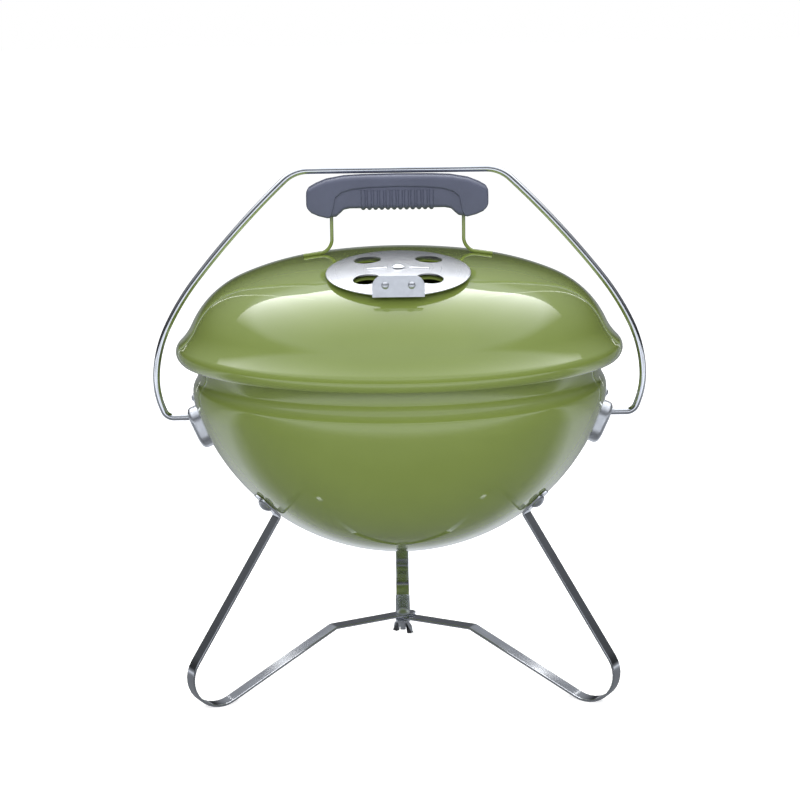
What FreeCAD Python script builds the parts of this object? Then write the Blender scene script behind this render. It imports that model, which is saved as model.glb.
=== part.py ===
"""Portable kettle charcoal grill: enamelled bowl and lid, strap legs, wire bail, dampers and grates.

Millimetres, +Z up.  The origin is on the kettle's axis, on the ground that the feet stand on.
-Y is the front, where the lid's damper tab is, and the bail is hinged on a line along X.
"""
import FreeCAD, Part
import math
import os
import re
import Sketcher
from FreeCAD import Placement, Rotation, Vector

# ---------------------------------------------------------------- driving dimensions
SIZES = {
    # enamelled sheet
    "sheet_wall": 1.2,
    "bowl_radius": 183.0,
    "bowl_centre_height": 296.0,
    "bead_start_height": 240.0,
    "bead_lower_radius": 48.0,
    "bead_height": 254.7,
    "bead_upper_radius": 16.0,
    "bead_end_height": 263.4,
    "neck_radius": 12.2,
    "neck_height": 270.0,
    "flare_radius": 42.0,
    "flare_middle_height": 282.7,
    "rim_height": 295.0,
    "rim_roll_radius": 4.5,
    "rim_roll_end_angle": 60.0,
    "lid_apex_height": 371.4,
    "lid_crown_radius": 534.7,
    "lid_crown_end_height": 365.0,
    "lid_haunch_radius": 225.5,
    "lid_haunch_end_height": 349.7,
    "lid_shoulder_radius": 78.3,
    "lid_shoulder_end_height": 310.7,
    "lid_flare_radius": 50.0,
    "lid_flare_end_height": 295.5,
    "lid_skirt_radius": 9.1,
    "lid_edge_height": 281.6,
    # strap legs
    "strap_width": 12.7,
    "strap_thickness": 2.0,
    "strap_bend_radius": 3.0,
    "strap_seat": 0.1,
    "strap_kink_radius": 4.0,
    "hub_height": 50.0,
    "hub_tongue_length": 12.0,
    "hub_kink_reach": 69.2,
    "foot_centre_reach": 179.0,
    "foot_bend_radius": 25.0,
    "leg_top_reach": 120.1,
    "leg_top_height": 155.7,
    "leg_tab_length": 28.0,
    "leg_bolt_reach": 130.0,
    # bolts and nuts
    "bolt_radius": 2.5,
    "bolt_hole_radius": 2.6,
    "bolt_head_radius": 6.4,
    "bolt_head_height": 4.0,
    "washer_radius": 6.0,
    "washer_thickness": 1.0,
    "nut_flats": 8.0,
    "nut_thickness": 4.0,
    "thread_end": 1.0,
    "hub_bolt_drop": 15.0,
    "wing_nut_height": 6.0,
    "wing_nut_radius": 4.6,
    "wing_span": 20.0,
    "wing_drop": 12.0,
    "wing_thickness": 2.0,
    "wing_root": 1.5,
    "wing_shoulder": 1.0,
    "wing_tip_run": 3.4,
    "wing_tip_rise": 1.5,
    "wing_tip_radius": 1.9,
    "wing_back_drop": 4.0,
    "wing_back_radius": 9.0,
    "wing_shoulder_radius": 5.0,
    "wing_nut_clearance": 0.08,
    # wire bail and its brackets
    "bail_wire_radius": 3.0,
    "bail_top_height": 438.7,
    "bail_bar_half": 74.9,
    "bail_corner_radius": 30.0,
    "bail_corner_end_height": 430.6,
    "bail_upper_radius": 772.0,
    "bail_upper_end_height": 347.3,
    "bail_middle_radius": 220.0,
    "bail_middle_end_height": 306.4,
    "bail_lower_radius": 108.0,
    "bail_lower_end_height": 264.8,
    "bail_hook_radius": 69.0,
    "bail_hook_end_height": 234.0,
    "bail_pivot_height": 228.6,
    "bail_pivot_end": 173.5,
    "bail_pivot_clearance": 0.08,
    "bracket_height": 222.0,
    "bracket_width": 26.0,
    "bracket_length": 38.0,
    "bracket_depth": 10.5,
    "bracket_wall": 1.5,
    "bracket_edge_radius": 4.0,
    "bracket_tongue_width": 12.0,
    "bracket_tongue_length": 12.0,
    "bracket_seat": 0.4,
    "bracket_rivet_tail": 2.2,
    # lid handle
    "handle_rod_radius": 1.5,
    "handle_rod_reach": 55.8,
    "handle_rod_top": 419.0,
    "handle_rod_bend": 12.0,
    "handle_foot_end": 80.0,
    "grip_half_length": 76.5,
    "grip_depth": 27.0,
    "grip_crest_height": 434.8,
    "grip_arch_height": 407.0,
    "grip_edge_radius": 3.0,
    "grip_crest_radius": 460.0,
    "grip_shoulder_run": 16.5,
    "grip_shoulder_drop": 3.9,
    "grip_shoulder_radius": 90.0,
    "grip_corner_run": 1.0,
    "grip_corner_drop": 10.5,
    "grip_end_rise": 1.0,
    "grip_heel_run": 2.0,
    "grip_heel_drop": 7.6,
    "grip_heel_radius": 40.0,
    "grip_toe_run": 5.0,
    "grip_toe_drop": 6.0,
    "grip_toe_radius": 11.0,
    "grip_arch_run": 13.5,
    # lid damper
    "lid_vent_offset": 90.0,
    "lid_vent_disc_radius": 58.5,
    "lid_vent_crown_radius": 420.0,
    "lid_vent_hole_radius": 11.0,
    "lid_vent_hole_circle": 35.4,
    "lid_vent_gap": 2.2,
    "vent_sheet": 1.2,
    "vent_pivot_radius": 2.5,
    "vent_pivot_clearance": 0.06,
    "pivot_play": 0.3,
    "vent_head_radius": 5.0,
    "vent_head_height": 2.4,
    "vent_washer_radius": 8.0,
    "tab_width": 41.0,
    "tab_height": 16.5,
    "tab_corner_radius": 8.0,
    "tab_rivet_spacing": 20.6,
    "tab_rivet_radius": 3.0,
    "tab_rivet_head": 2.2,
    "tab_lug_width": 30.0,
    "tab_lean": 10.0,
    "tab_overlap": 0.4,
    "tab_rivet_rise": 0.55,
    "tab_rivet_tail": 0.6,
    "lug_rise": 0.2,
    "lug_shortfall": 3.0,
    "pivot_tail": 1.0,
    # bowl dampers
    "bowl_vent_height": 205.0,
    "bowl_vent_disc_radius": 34.0,
    "bowl_vent_crown_radius": 190.0,
    "bowl_vent_hole_radius": 7.0,
    "bowl_vent_hole_circle": 20.0,
    "bowl_vent_gap": 1.4,
    "bowl_tab_width": 22.0,
    "bowl_tab_height": 12.0,
    "bowl_tab_corner_radius": 5.0,
    # grates
    "grate_height": 252.0,
    "grate_ring_radius": 166.0,
    "grate_ring_wire": 2.5,
    "grate_bar_wire": 1.6,
    "grate_bar_spacing": 16.0,
    "grate_cross_wire": 2.0,
    "grate_cross_offset": 78.0,
    "coal_height": 177.8,
    "coal_ring_radius": 124.0,
    "coal_bar_wire": 2.0,
    "coal_bar_spacing": 20.0,
    "coal_cross_offset": 48.0,
    "ledge_reach": 163.0,
    "ledge_outer": 174.6,
    "ledge_width": 14.0,
    "ledge_thickness": 1.5,
    "ledge_back_height": 11.0,
    "ledge_back_reach": 169.7,
    "rest_gap": 0.3,
}

FRONT_LEFT, FRONT_RIGHT, BACK = 210.0, 330.0, 90.0
LEG_AZIMUTHS = {"leg_left": FRONT_LEFT, "leg_right": FRONT_RIGHT, "leg_back": BACK}
BOWL_VENT_AZIMUTHS = {"bowl_damper_left": 150.0, "bowl_damper_right": 30.0}
VENT_HOLE_ANGLES = (45.0, 135.0, 225.0, 315.0)
BOWL_VENT_HOLE_ANGLES = (30.0, 150.0, 270.0)
LEDGE_AZIMUTHS = (0.0, 60.0, 120.0, 180.0, 240.0, 300.0)

doc = FreeCAD.newDocument("kettle_charcoal_grill")
sheet = doc.addObject("Spreadsheet::Sheet", "Dimensions")
for row, (word, value) in enumerate(SIZES.items(), start=1):
    sheet.set("A%d" % row, word)
    sheet.set("B%d" % row, str(value))
    sheet.setAlias("B%d" % row, word)
doc.recompute()

NODES = []


# ---------------------------------------------------------------- expressions
def cells(expression):
    """The expression with every dimension's word turned into a reference to its cell."""
    def reference(match):
        word = match.group(0)
        return "Dimensions." + word if word in SIZES else word
    return re.sub(r"(?<![\w.])[a-z]\w*", reference, str(expression))


def size(expression):
    """The number that an expression of the dimensions gives."""
    value = sheet.evalExpression(cells(expression))
    return float(getattr(value, "Value", value))


def bind(feature, **properties):
    """Bind a feature's sizes to expressions of the dimensions."""
    for name, expression in properties.items():
        feature.setExpression(name, cells(expression))
    return feature


def node(feature, name, placement=None):
    """Make a feature one of the grill's named pieces."""
    feature.Label = name
    if placement is not None:
        feature.Placement = placement
    NODES.append(feature)
    return feature


# ---------------------------------------------------------------- places
def turned(azimuth):
    """A turn about the kettle's axis."""
    return Placement(Vector(0, 0, 0), Rotation(Vector(0, 0, 1), azimuth))


def at(x, y, z):
    return Placement(Vector(x, y, z), Rotation())


def leaning(x, z, tilt):
    """A place in the XZ plane whose own Z leans from world Z towards +X by the tilt."""
    return Placement(Vector(x, 0, z), Rotation(Vector(0, 1, 0), tilt))


def on_bowl(height, azimuth, lift=0.0):
    """A place on the bowl's outside, its Z outwards and its X up along the wall."""
    radius = size("bowl_radius")
    drop = size("bowl_centre_height") - height
    reach = math.sqrt(radius ** 2 - drop ** 2)
    tilt = 90 + math.degrees(math.asin(drop / radius))
    scale = (radius + lift) / radius
    place = leaning(reach * scale, size("bowl_centre_height") - drop * scale, tilt)
    return turned(azimuth) * place * Placement(Vector(), Rotation(Vector(0, 0, 1), 180))


def on_lid(offset, azimuth, lift=0.0):
    """A place on the lid's haunch, its Z along the outward normal and its X outwards."""
    haunch = size("lid_haunch_radius")
    crown = size("lid_crown_radius")
    crown_end = size("lid_crown_end_height") - size("lid_apex_height") + crown
    start = math.acos(crown_end / crown)
    centre_x = (crown - haunch) * math.sin(start)
    centre_z = size("lid_apex_height") - crown + (crown - haunch) * math.cos(start)
    tilt = math.asin((offset - centre_x) / haunch)
    x = centre_x + (haunch + lift) * math.sin(tilt)
    z = centre_z + (haunch + lift) * math.cos(tilt)
    return turned(azimuth) * leaning(x, z, math.degrees(tilt))


# ---------------------------------------------------------------- sketches
def new_body(name):
    return doc.addObject("PartDesign::Body", name)


def new_sketch(body, name, role, offset=None):
    """A sketch on one of the body's own origin planes, raised by an expression if one is given."""
    plane = [f for f in body.Origin.OriginFeatures if f.Role == role][0]
    sketch = body.newObject("Sketcher::SketchObject", name)
    sketch.AttachmentSupport = [(plane, "")]
    sketch.MapMode = "FlatFace"
    if offset is not None:
        sketch.setExpression("AttachmentOffset.Base.z", cells(offset))
    return sketch


def fix_point(sketch, geometry, vertex, x, y):
    """Hold one vertex at a place given by two expressions."""
    for kind, axis, expression in (("DistanceX", -2, x), ("DistanceY", -1, y)):
        if expression is None:
            continue
        if expression == "0":
            sketch.addConstraint(Sketcher.Constraint("PointOnObject", geometry, vertex, axis))
            continue
        index = sketch.addConstraint(Sketcher.Constraint(kind, geometry, vertex, size(expression)))
        sketch.setExpression("Constraints[%d]" % index, cells(expression))


def fix_radius(sketch, geometry, expression):
    index = sketch.addConstraint(Sketcher.Constraint("Radius", geometry, size(expression)))
    sketch.setExpression("Constraints[%d]" % index, cells(expression))


def add_line(sketch, start, end):
    """A line; gives its number and which of its vertices come first and last."""
    return sketch.addGeometry(Part.LineSegment(start, end), False), 1, 2


def add_arc(sketch, start, end, centre, turn):
    """An arc that turns left (+1) or right (-1); gives its number, first and last vertex."""
    if turn < 0:
        start, end = end, start
    first = math.atan2(start.y - centre.y, start.x - centre.x)
    last = math.atan2(end.y - centre.y, end.x - centre.x)
    if last <= first:
        last += 2 * math.pi
    circle = Part.Circle(centre, Vector(0, 0, 1), (start - centre).Length)
    number = sketch.addGeometry(Part.ArcOfCircle(circle, first, last), False)
    return (number, 1, 2) if turn > 0 else (number, 2, 1)


def arc_centre(start, end, radius, turn):
    """Centre of the shorter arc from start to end with the given radius and turn."""
    half = (end - start) * 0.5
    height = math.sqrt(max(radius ** 2 - half.Length ** 2, 0.0))
    across = Vector(-half.y, half.x, 0).normalize() * (height * turn)
    return start + half + across


def outline(sketch, points):
    """A closed outline.  A point is (x, y), or (x, y, radius, turn) where an arc arrives at it."""
    places = [Vector(size(point[0]), size(point[1]), 0) for point in points]
    pieces = []
    for index, point in enumerate(points):
        start, end = places[index - 1], places[index]
        if len(point) == 2:
            pieces.append(add_line(sketch, start, end))
            continue
        centre = arc_centre(start, end, size(point[2]), point[3])
        pieces.append(add_arc(sketch, start, end, centre, point[3]))
    for index, piece in enumerate(pieces):
        before = pieces[index - 1]
        sketch.addConstraint(Sketcher.Constraint("Coincident", before[0], before[2], piece[0], piece[1]))
    for piece, point in zip(pieces, points):
        fix_point(sketch, piece[0], piece[2], point[0], point[1])
        if len(point) == 4:
            fix_radius(sketch, piece[0], point[2])
    return sketch


def circle(sketch, x, y, radius):
    """A full circle."""
    centre = Vector(size(x), size(y), 0)
    number = sketch.addGeometry(Part.Circle(centre, Vector(0, 0, 1), size(radius)), False)
    fix_point(sketch, number, 3, x, y)
    fix_radius(sketch, number, radius)
    return sketch


def smooth_chain(sketch, start, arcs):
    """Arcs that leave a point on the sketch's upright axis level and run on without a corner.

    Each arc is (radius, turn, height of its end).  Gives the arcs and the place where they end.
    """
    place = Vector(size(start[0]), size(start[1]), 0)
    heading = 0.0
    pieces = []
    for radius, turn, end_height in arcs:
        length = size(radius)
        left = Vector(-math.sin(heading), math.cos(heading), 0)
        centre = place + left * (length * turn)
        slope = math.asin((size(end_height) - centre.y) / length)
        begin = math.atan2(place.y - centre.y, place.x - centre.x)
        sweeps = [((angle - begin) * turn) % (2 * math.pi) for angle in (slope, math.pi - slope)]
        sweep = min(s for s in sweeps if s > 1e-6)
        angle = begin + sweep * turn
        end = centre + Vector(math.cos(angle), math.sin(angle), 0) * length
        pieces.append(add_arc(sketch, place, end, centre, turn))
        heading += sweep * turn
        place = end
    fix_point(sketch, pieces[0][0], pieces[0][1], start[0], start[1])
    for before, piece in zip(pieces, pieces[1:]):
        sketch.addConstraint(Sketcher.Constraint("Tangent", before[0], before[2], piece[0], piece[1]))
    for piece, (radius, turn, end_height) in zip(pieces, arcs):
        fix_radius(sketch, piece[0], radius)
        fix_point(sketch, piece[0], piece[2], None, end_height)
    return pieces, place


def wrap_corner(before, after, centre, radius, turn):
    """Where the two tangents that wrap a circle from one point to another would cross."""
    inward, outward = centre - before, centre - after
    first = math.atan2(inward.y, inward.x) - turn * math.asin(radius / inward.Length)
    second = math.atan2(outward.y, outward.x) + turn * math.asin(radius / outward.Length)
    along = Vector(math.cos(first), math.sin(first), 0)
    back = Vector(math.cos(second), math.sin(second), 0)
    gap = after - before
    return before + along * (gap.cross(back).z / along.cross(back).z)


def bent_path(sketch, corners):
    """An open path of straight runs.

    A corner is (x, y, radius) where two runs would cross, or (x, y, radius, turn) where x and y
    are the centre of the bend itself.  The two ends are (x, y).
    """
    places = [Vector(size(corner[0]), size(corner[1]), 0) for corner in corners]
    for index, corner in enumerate(corners):
        if len(corner) == 4:
            around = places[index - 1], places[index + 1], places[index], size(corner[2]), corner[3]
            places[index] = wrap_corner(*around)
    last = len(corners) - 1
    begins, ends, arcs = {0: places[0]}, {}, {}
    for index in range(1, last):
        radius = size(corners[index][2])
        back = (places[index - 1] - places[index]).normalize()
        onward = (places[index + 1] - places[index]).normalize()
        half = math.acos(back.dot(onward)) / 2
        ends[index - 1] = places[index] + back * (radius / math.tan(half))
        begins[index] = places[index] + onward * (radius / math.tan(half))
        centre = places[index] + (back + onward).normalize() * (radius / math.sin(half))
        turn = 1 if back.cross(onward).z < 0 else -1
        arcs[index] = (ends[index - 1], begins[index], centre, turn)
    ends[last - 1] = places[last]
    lines = [add_line(sketch, begins[index], ends[index]) for index in range(last)]
    for index, (start, end, centre, turn) in arcs.items():
        bend = add_arc(sketch, start, end, centre, turn)
        before, after = lines[index - 1], lines[index]
        sketch.addConstraint(Sketcher.Constraint("Tangent", before[0], before[2], bend[0], bend[1]))
        sketch.addConstraint(Sketcher.Constraint("Tangent", bend[0], bend[2], after[0], after[1]))
        fix_radius(sketch, bend[0], corners[index][2])
        if len(corners[index]) == 4:
            fix_point(sketch, bend[0], 3, corners[index][0], corners[index][1])
            continue
        corner = sketch.addGeometry(Part.Point(places[index]), True)
        fix_point(sketch, corner, 1, corners[index][0], corners[index][1])
        sketch.addConstraint(Sketcher.Constraint("PointOnObject", corner, 1, before[0]))
        sketch.addConstraint(Sketcher.Constraint("PointOnObject", corner, 1, after[0]))
    fix_point(sketch, lines[0][0], 1, corners[0][0], corners[0][1])
    fix_point(sketch, lines[-1][0], 2, corners[-1][0], corners[-1][1])
    return sketch


# ---------------------------------------------------------------- features
def revolve(body, sketch, kind="PartDesign::Revolution"):
    feature = body.newObject(kind, sketch.Name + "Turned")
    feature.Profile = sketch
    feature.ReferenceAxis = (sketch, ["V_Axis"])
    feature.Angle = 360
    return feature


def pad(body, sketch, length, both_ways=False):
    feature = body.newObject("PartDesign::Pad", sketch.Name + "Pad")
    feature.Profile = sketch
    bind(feature, Length=length)
    if both_ways:
        feature.SideType = "Symmetric"
    return feature


def pipe(body, profile, path):
    feature = body.newObject("PartDesign::AdditivePipe", path.Name + "Pipe")
    feature.Profile = profile
    feature.Spine = (path, [])
    return feature


def drill(body, name, radius, length, placement):
    """A round hole through a body, centred on the placement and along its Z."""
    feature = body.newObject("PartDesign::SubtractiveCylinder", name)
    bind(feature, Radius=radius, Height=length)
    feature.Placement = placement * at(0, 0, -size(length) / 2)
    return feature


def cylinder(name, radius, height, placement=Placement()):
    feature = bind(doc.addObject("Part::Cylinder", name), Radius=radius, Height=height)
    feature.Placement = placement
    return feature


def box(name, length, width, height, placement=Placement()):
    feature = bind(doc.addObject("Part::Box", name), Length=length, Width=width, Height=height)
    feature.Placement = placement
    return feature


def dome(name, radius, height, placement=Placement()):
    """A low round head: a slice of a sphere, flat side on the placement's XY plane."""
    curve = "((%s)^2 + (%s)^2) / (2 * (%s))" % (radius, height, height)
    feature = doc.addObject("Part::Sphere", name)
    bind(feature, Radius=curve, Angle1="asin(1 - (%s) / (%s))" % (height, curve))
    feature.Placement = placement * at(0, 0, size(height) - size(curve))
    return feature


def torus(name, ring, wire, placement=Placement()):
    feature = bind(doc.addObject("Part::Torus", name), Radius1=ring, Radius2=wire)
    feature.Placement = placement
    return feature


def fuse(name, shapes):
    feature = doc.addObject("Part::MultiFuse", name)
    feature.Shapes = shapes
    return feature


def cut(name, base, tool):
    feature = doc.addObject("Part::Cut", name)
    feature.Base = base
    feature.Tool = tool
    return feature


def group(name, pieces):
    """Like pieces that share one node, each its own solid."""
    feature = doc.addObject("Part::Compound", name)
    feature.Links = pieces
    return feature


# ---------------------------------------------------------------- bowl and lid
def close_to_axis(sketch, first, last, end, level):
    """Close a chain with a line in to the axis and one along it.

    Where a level is given, an upright line leads to that level first.
    """
    start = sketch.getPoint(first[0], first[1])
    corner = end if level is None else Vector(end.x, size(level), 0)
    centre = Vector(0, corner.y, 0)
    loop = [last]
    if level is not None:
        loop.append(add_line(sketch, end, corner))
        sketch.addConstraint(Sketcher.Constraint("Vertical", loop[-1][0]))
    across = add_line(sketch, corner, centre)
    axis = add_line(sketch, centre, start)
    loop += [across, axis, first]
    for before, after in zip(loop, loop[1:]):
        sketch.addConstraint(Sketcher.Constraint("Coincident", before[0], before[2], after[0], after[1]))
    sketch.addConstraint(Sketcher.Constraint("Horizontal", across[0]))
    fix_point(sketch, across[0], across[2], "0", level)


def reference(sketch, kind, geometry, vertex, name):
    """A measured distance that other sketches can read by its name."""
    index = sketch.addConstraint(Sketcher.Constraint(kind, geometry, vertex, 1.0))
    sketch.setDriving(index, False)
    sketch.renameConstraint(index, name)


def dished(name, start_height, arcs, level):
    """A pressed sheet of revolution: a solid turned from a chain of arcs, then hollowed.

    The hollow's arcs have the same centres, and radii that differ by the sheet's thickness.
    The chain starts on the axis, and level is a little way beyond its open edge.
    """
    body = new_body(name)
    sketch = new_sketch(body, name + "Outside", "XZ_Plane")
    pieces, end = smooth_chain(sketch, ("0", start_height), arcs)
    sketch.addConstraint(Sketcher.Constraint("PointOnObject", pieces[0][0], 3, -2))
    close_to_axis(sketch, pieces[0], pieces[-1], end, None)
    for index, piece in enumerate(pieces):
        reference(sketch, "DistanceY", piece[0], 3, "centre_%d" % index)
    reference(sketch, "DistanceX", pieces[-1][0], pieces[-1][2], "edge_reach")
    revolve(body, sketch)
    doc.recompute()
    hollow_arcs = []
    for index, (radius, turn, end_height) in enumerate(arcs):
        sign = "-" if turn == arcs[0][1] else "+"
        rise = "(%s - %sOutside.Constraints.centre_%d / 1 mm) / %s" % (end_height, name, index, radius)
        inner_height = "%s %s sheet_wall * %s" % (end_height, sign, rise)
        hollow_arcs.append(("%s %s sheet_wall" % (radius, sign), turn, inner_height))
    inside = new_sketch(body, name + "Inside", "XZ_Plane")
    inner_start = "%s %s sheet_wall" % (start_height, "+" if arcs[0][1] > 0 else "-")
    pieces, end = smooth_chain(inside, ("0", inner_start), hollow_arcs)
    inside.addConstraint(Sketcher.Constraint("PointOnObject", pieces[0][0], 3, -2))
    close_to_axis(inside, pieces[0], pieces[-1], end, level)
    revolve(body, inside, "PartDesign::Groove")
    return body


def make_bowl():
    arcs = [
        ("bowl_radius", 1, "bead_start_height"),
        ("bead_lower_radius", 1, "bead_height"),
        ("bead_upper_radius", 1, "bead_end_height"),
        ("neck_radius", -1, "neck_height"),
        ("flare_radius", -1, "flare_middle_height"),
        ("flare_radius", 1, "rim_height"),
    ]
    body = dished("Bowl", "bowl_centre_height - bowl_radius", arcs, "rim_height + sheet_wall")
    roll = new_sketch(body, "RimRoll", "XZ_Plane")
    edge = "(BowlOutside.Constraints.edge_reach / 1 mm)"
    doc.recompute()
    reach = "(%s + rim_roll_radius - sheet_wall)" % edge
    inner = "(rim_roll_radius - sheet_wall)"
    outline(roll, [
        ("%s - %s" % (reach, inner), "rim_height"),
        ("%s" % reach, "rim_height + %s" % inner, inner, -1),
        ("%s + %s" % (reach, inner), "rim_height", inner, -1),
        ("%s + %s * cos(rim_roll_end_angle)" % (reach, inner),
         "rim_height - %s * sin(rim_roll_end_angle)" % inner, inner, -1),
        ("%s + rim_roll_radius * cos(rim_roll_end_angle)" % reach,
         "rim_height - rim_roll_radius * sin(rim_roll_end_angle)"),
        ("%s + rim_roll_radius" % reach, "rim_height", "rim_roll_radius", 1),
        ("%s" % reach, "rim_height + rim_roll_radius", "rim_roll_radius", 1),
        ("%s - rim_roll_radius" % reach, "rim_height", "rim_roll_radius", 1),
    ])
    revolve(body, roll)
    for name, azimuth in LEG_AZIMUTHS.items():
        place = on_bowl(leg_bolt_height(), azimuth)
        drill(body, "BoltHole_" + name, "bolt_hole_radius", "8 * sheet_wall", place)
    for name, azimuth in BOWL_VENT_AZIMUTHS.items():
        place = on_bowl(size("bowl_vent_height"), azimuth)
        drill(body, "PivotHole_" + name, "vent_pivot_radius", "8 * sheet_wall", place)
        for angle in BOWL_VENT_HOLE_ANGLES:
            spot = place * turned(angle) * at(size("bowl_vent_hole_circle"), 0, 0)
            drill(body, "VentHole_%s_%d" % (name, angle), "bowl_vent_hole_radius", "16 * sheet_wall", spot)
    return node(body, "bowl")


def make_lid():
    arcs = [
        ("lid_crown_radius", -1, "lid_crown_end_height"),
        ("lid_haunch_radius", -1, "lid_haunch_end_height"),
        ("lid_shoulder_radius", -1, "lid_shoulder_end_height"),
        ("lid_flare_radius", 1, "lid_flare_end_height"),
        ("lid_skirt_radius", -1, "lid_edge_height"),
    ]
    body = dished("Lid", "lid_apex_height", arcs, "lid_edge_height - sheet_wall")
    place = lid_vent_place()
    drill(body, "LidPivotHole", "vent_pivot_radius", "16 * sheet_wall", place)
    for angle in VENT_HOLE_ANGLES:
        spot = place * turned(angle) * at(size("lid_vent_hole_circle"), 0, 0)
        drill(body, "LidVentHole_%d" % angle, "lid_vent_hole_radius", "16 * sheet_wall", spot)
    return node(body, "lid")


def leg_bolt_height():
    reach = size("leg_bolt_reach")
    return size("bowl_centre_height") - math.sqrt(size("bowl_radius") ** 2 - reach ** 2)


def lid_vent_place(lift=0.0):
    """The lid damper's centre on the front of the lid, its Y pointing away from the front."""
    return on_lid(size("lid_vent_offset"), -90.0, lift) * turned(90.0)


# ---------------------------------------------------------------- legs
def make_leg(name, azimuth, level):
    """One strap: hub tongue, level run, foot loop, straight riser and bolted tab."""
    body = new_body(name.title().replace("_", ""))
    hub = "(hub_height - %d * strap_thickness)" % level
    tab_x = "leg_top_reach + leg_tab_length * sqrt(1 - (leg_bolt_reach / bowl_radius)^2)"
    tab_z = "leg_top_height + leg_tab_length * leg_bolt_reach / bowl_radius"
    path = new_sketch(body, name + "_path", "XZ_Plane")
    bent_path(path, [
        ("0", hub),
        ("hub_kink_reach", hub, "strap_kink_radius"),
        ("foot_centre_reach", "foot_bend_radius + strap_thickness / 2", "foot_bend_radius", 1),
        ("leg_top_reach", "leg_top_height", "strap_bend_radius"),
        (tab_x, tab_z),
    ])
    profile = new_sketch(body, name + "_section", "YZ_Plane")
    half, thick = "strap_width / 2", "strap_thickness / 2"
    outline(profile, [
        ("-%s" % half, "%s - %s" % (hub, thick)),
        (half, "%s - %s" % (hub, thick)),
        (half, "%s + %s" % (hub, thick)),
        ("-%s" % half, "%s + %s" % (hub, thick)),
    ])
    pipe(body, profile, path)
    tongue = new_sketch(body, name + "_tongue", "XY_Plane", "%s - strap_thickness / 2" % hub)
    outline(tongue, [
        ("strap_width / 2", "-strap_width / 2"),
        ("strap_width / 2", "strap_width / 2"),
        ("strap_width / 2 - hub_tongue_length", "strap_width / 2"),
        ("-hub_tongue_length", "0", "strap_width / 2", 1),
        ("strap_width / 2 - hub_tongue_length", "-strap_width / 2", "strap_width / 2", 1),
    ])
    pad(body, tongue, "strap_thickness")
    drill(body, name + "_hub_hole", "bolt_hole_radius", "6 * strap_thickness", at(0, 0, size(hub)))
    drill(body, name + "_tab_hole", "bolt_hole_radius", "6 * strap_thickness",
          on_bowl(leg_bolt_height(), 0.0, size("strap_thickness") / 2))
    return node(body, name, turned(azimuth))


def make_legs():
    return [make_leg(name, azimuth, level) for level, (name, azimuth) in enumerate(LEG_AZIMUTHS.items())]


# ---------------------------------------------------------------- fasteners of the legs
def hex_prism(name, flats, height, placement):
    feature = doc.addObject("Part::Prism", name)
    feature.Polygon = 6
    bind(feature, Circumradius="(%s) / sqrt(3)" % flats, Height=height)
    feature.Placement = placement
    return feature


def leg_fastener_place(azimuth, depth):
    """On the bolt's line, at a depth measured inwards from the strap's outer face, Z inwards."""
    lift = size("strap_thickness + strap_seat") - depth
    return on_bowl(leg_bolt_height(), azimuth, lift) * Placement(Vector(), Rotation(Vector(1, 0, 0), 180))


def make_leg_fasteners():
    """Round-headed bolts outside, washers and nuts inside the bowl."""
    dish = "washer_radius^2 / (2 * (bowl_radius - sheet_wall))"
    inner_face = "(strap_thickness + strap_seat + sheet_wall + %s)" % dish
    bolts, washers, nuts = [], [], []
    for name, azimuth in LEG_AZIMUTHS.items():
        outside = leg_fastener_place(azimuth, 0.0)
        head_place = outside * Placement(Vector(), Rotation(Vector(1, 0, 0), 180))
        head = dome("head_" + name, "bolt_head_radius", "bolt_head_height", head_place)
        reach = "%s + washer_thickness + nut_thickness + thread_end" % inner_face
        shank = cylinder("shank_" + name, "bolt_radius", reach, outside)
        bolts.append(fuse("bolt_" + name, [head, shank]))
        inside = leg_fastener_place(azimuth, size(inner_face))
        disc = cylinder("disc_" + name, "washer_radius", "washer_thickness", inside)
        hole = cylinder("disc_hole_" + name, "bolt_hole_radius", "washer_thickness", inside)
        washers.append(cut("washer_" + name, disc, hole))
        nut_place = leg_fastener_place(azimuth, size("%s + washer_thickness" % inner_face))
        prism = hex_prism("prism_" + name, "nut_flats", "nut_thickness", nut_place)
        thread = cylinder("thread_" + name, "bolt_hole_radius", "nut_thickness", nut_place)
        nuts.append(cut("nut_" + name, prism, thread))
    node(group("LegBolts", bolts), "leg_bolts")
    node(group("LegWashers", washers), "leg_washers")
    node(group("LegNuts", nuts), "leg_nuts")


def make_hub_fasteners():
    """The slotted bolt through the three stacked straps, and the wing nut under them."""
    top = size("hub_height + strap_thickness / 2")
    under = size("hub_height - 2.5 * strap_thickness")
    head = dome("hub_head", "bolt_head_radius", "bolt_head_height", at(0, 0, top))
    slot_place = at(-size("bolt_head_radius"), -size("bolt_radius") / 4, top + size("bolt_head_height") / 2)
    slot = box("hub_slot", "2 * bolt_head_radius", "bolt_radius / 2", "bolt_head_height", slot_place)
    slotted = cut("hub_slotted_head", head, slot)
    length = "3 * strap_thickness + hub_bolt_drop"
    shank = cylinder("hub_shank", "bolt_radius", length, at(0, 0, top - size(length)))
    node(fuse("HubBolt", [slotted, shank]), "hub_bolt")

    boss = doc.addObject("Part::Cone", "wing_nut_boss")
    bind(boss, Radius1="wing_nut_radius - wing_shoulder", Radius2="wing_nut_radius", Height="wing_nut_height")
    boss.Placement = at(0, 0, under - size("wing_nut_height + rest_gap"))
    wings = [make_wing(side, under) for side in (0.0, 180.0)]
    blank = fuse("wing_nut_blank", [boss] + wings)
    bore = cylinder("wing_nut_bore", "bolt_radius + wing_nut_clearance", "3 * wing_nut_height",
                    at(0, 0, under - 2 * size("wing_nut_height")))
    node(cut("WingNut", blank, bore), "wing_nut", turned(-35.0))


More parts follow.
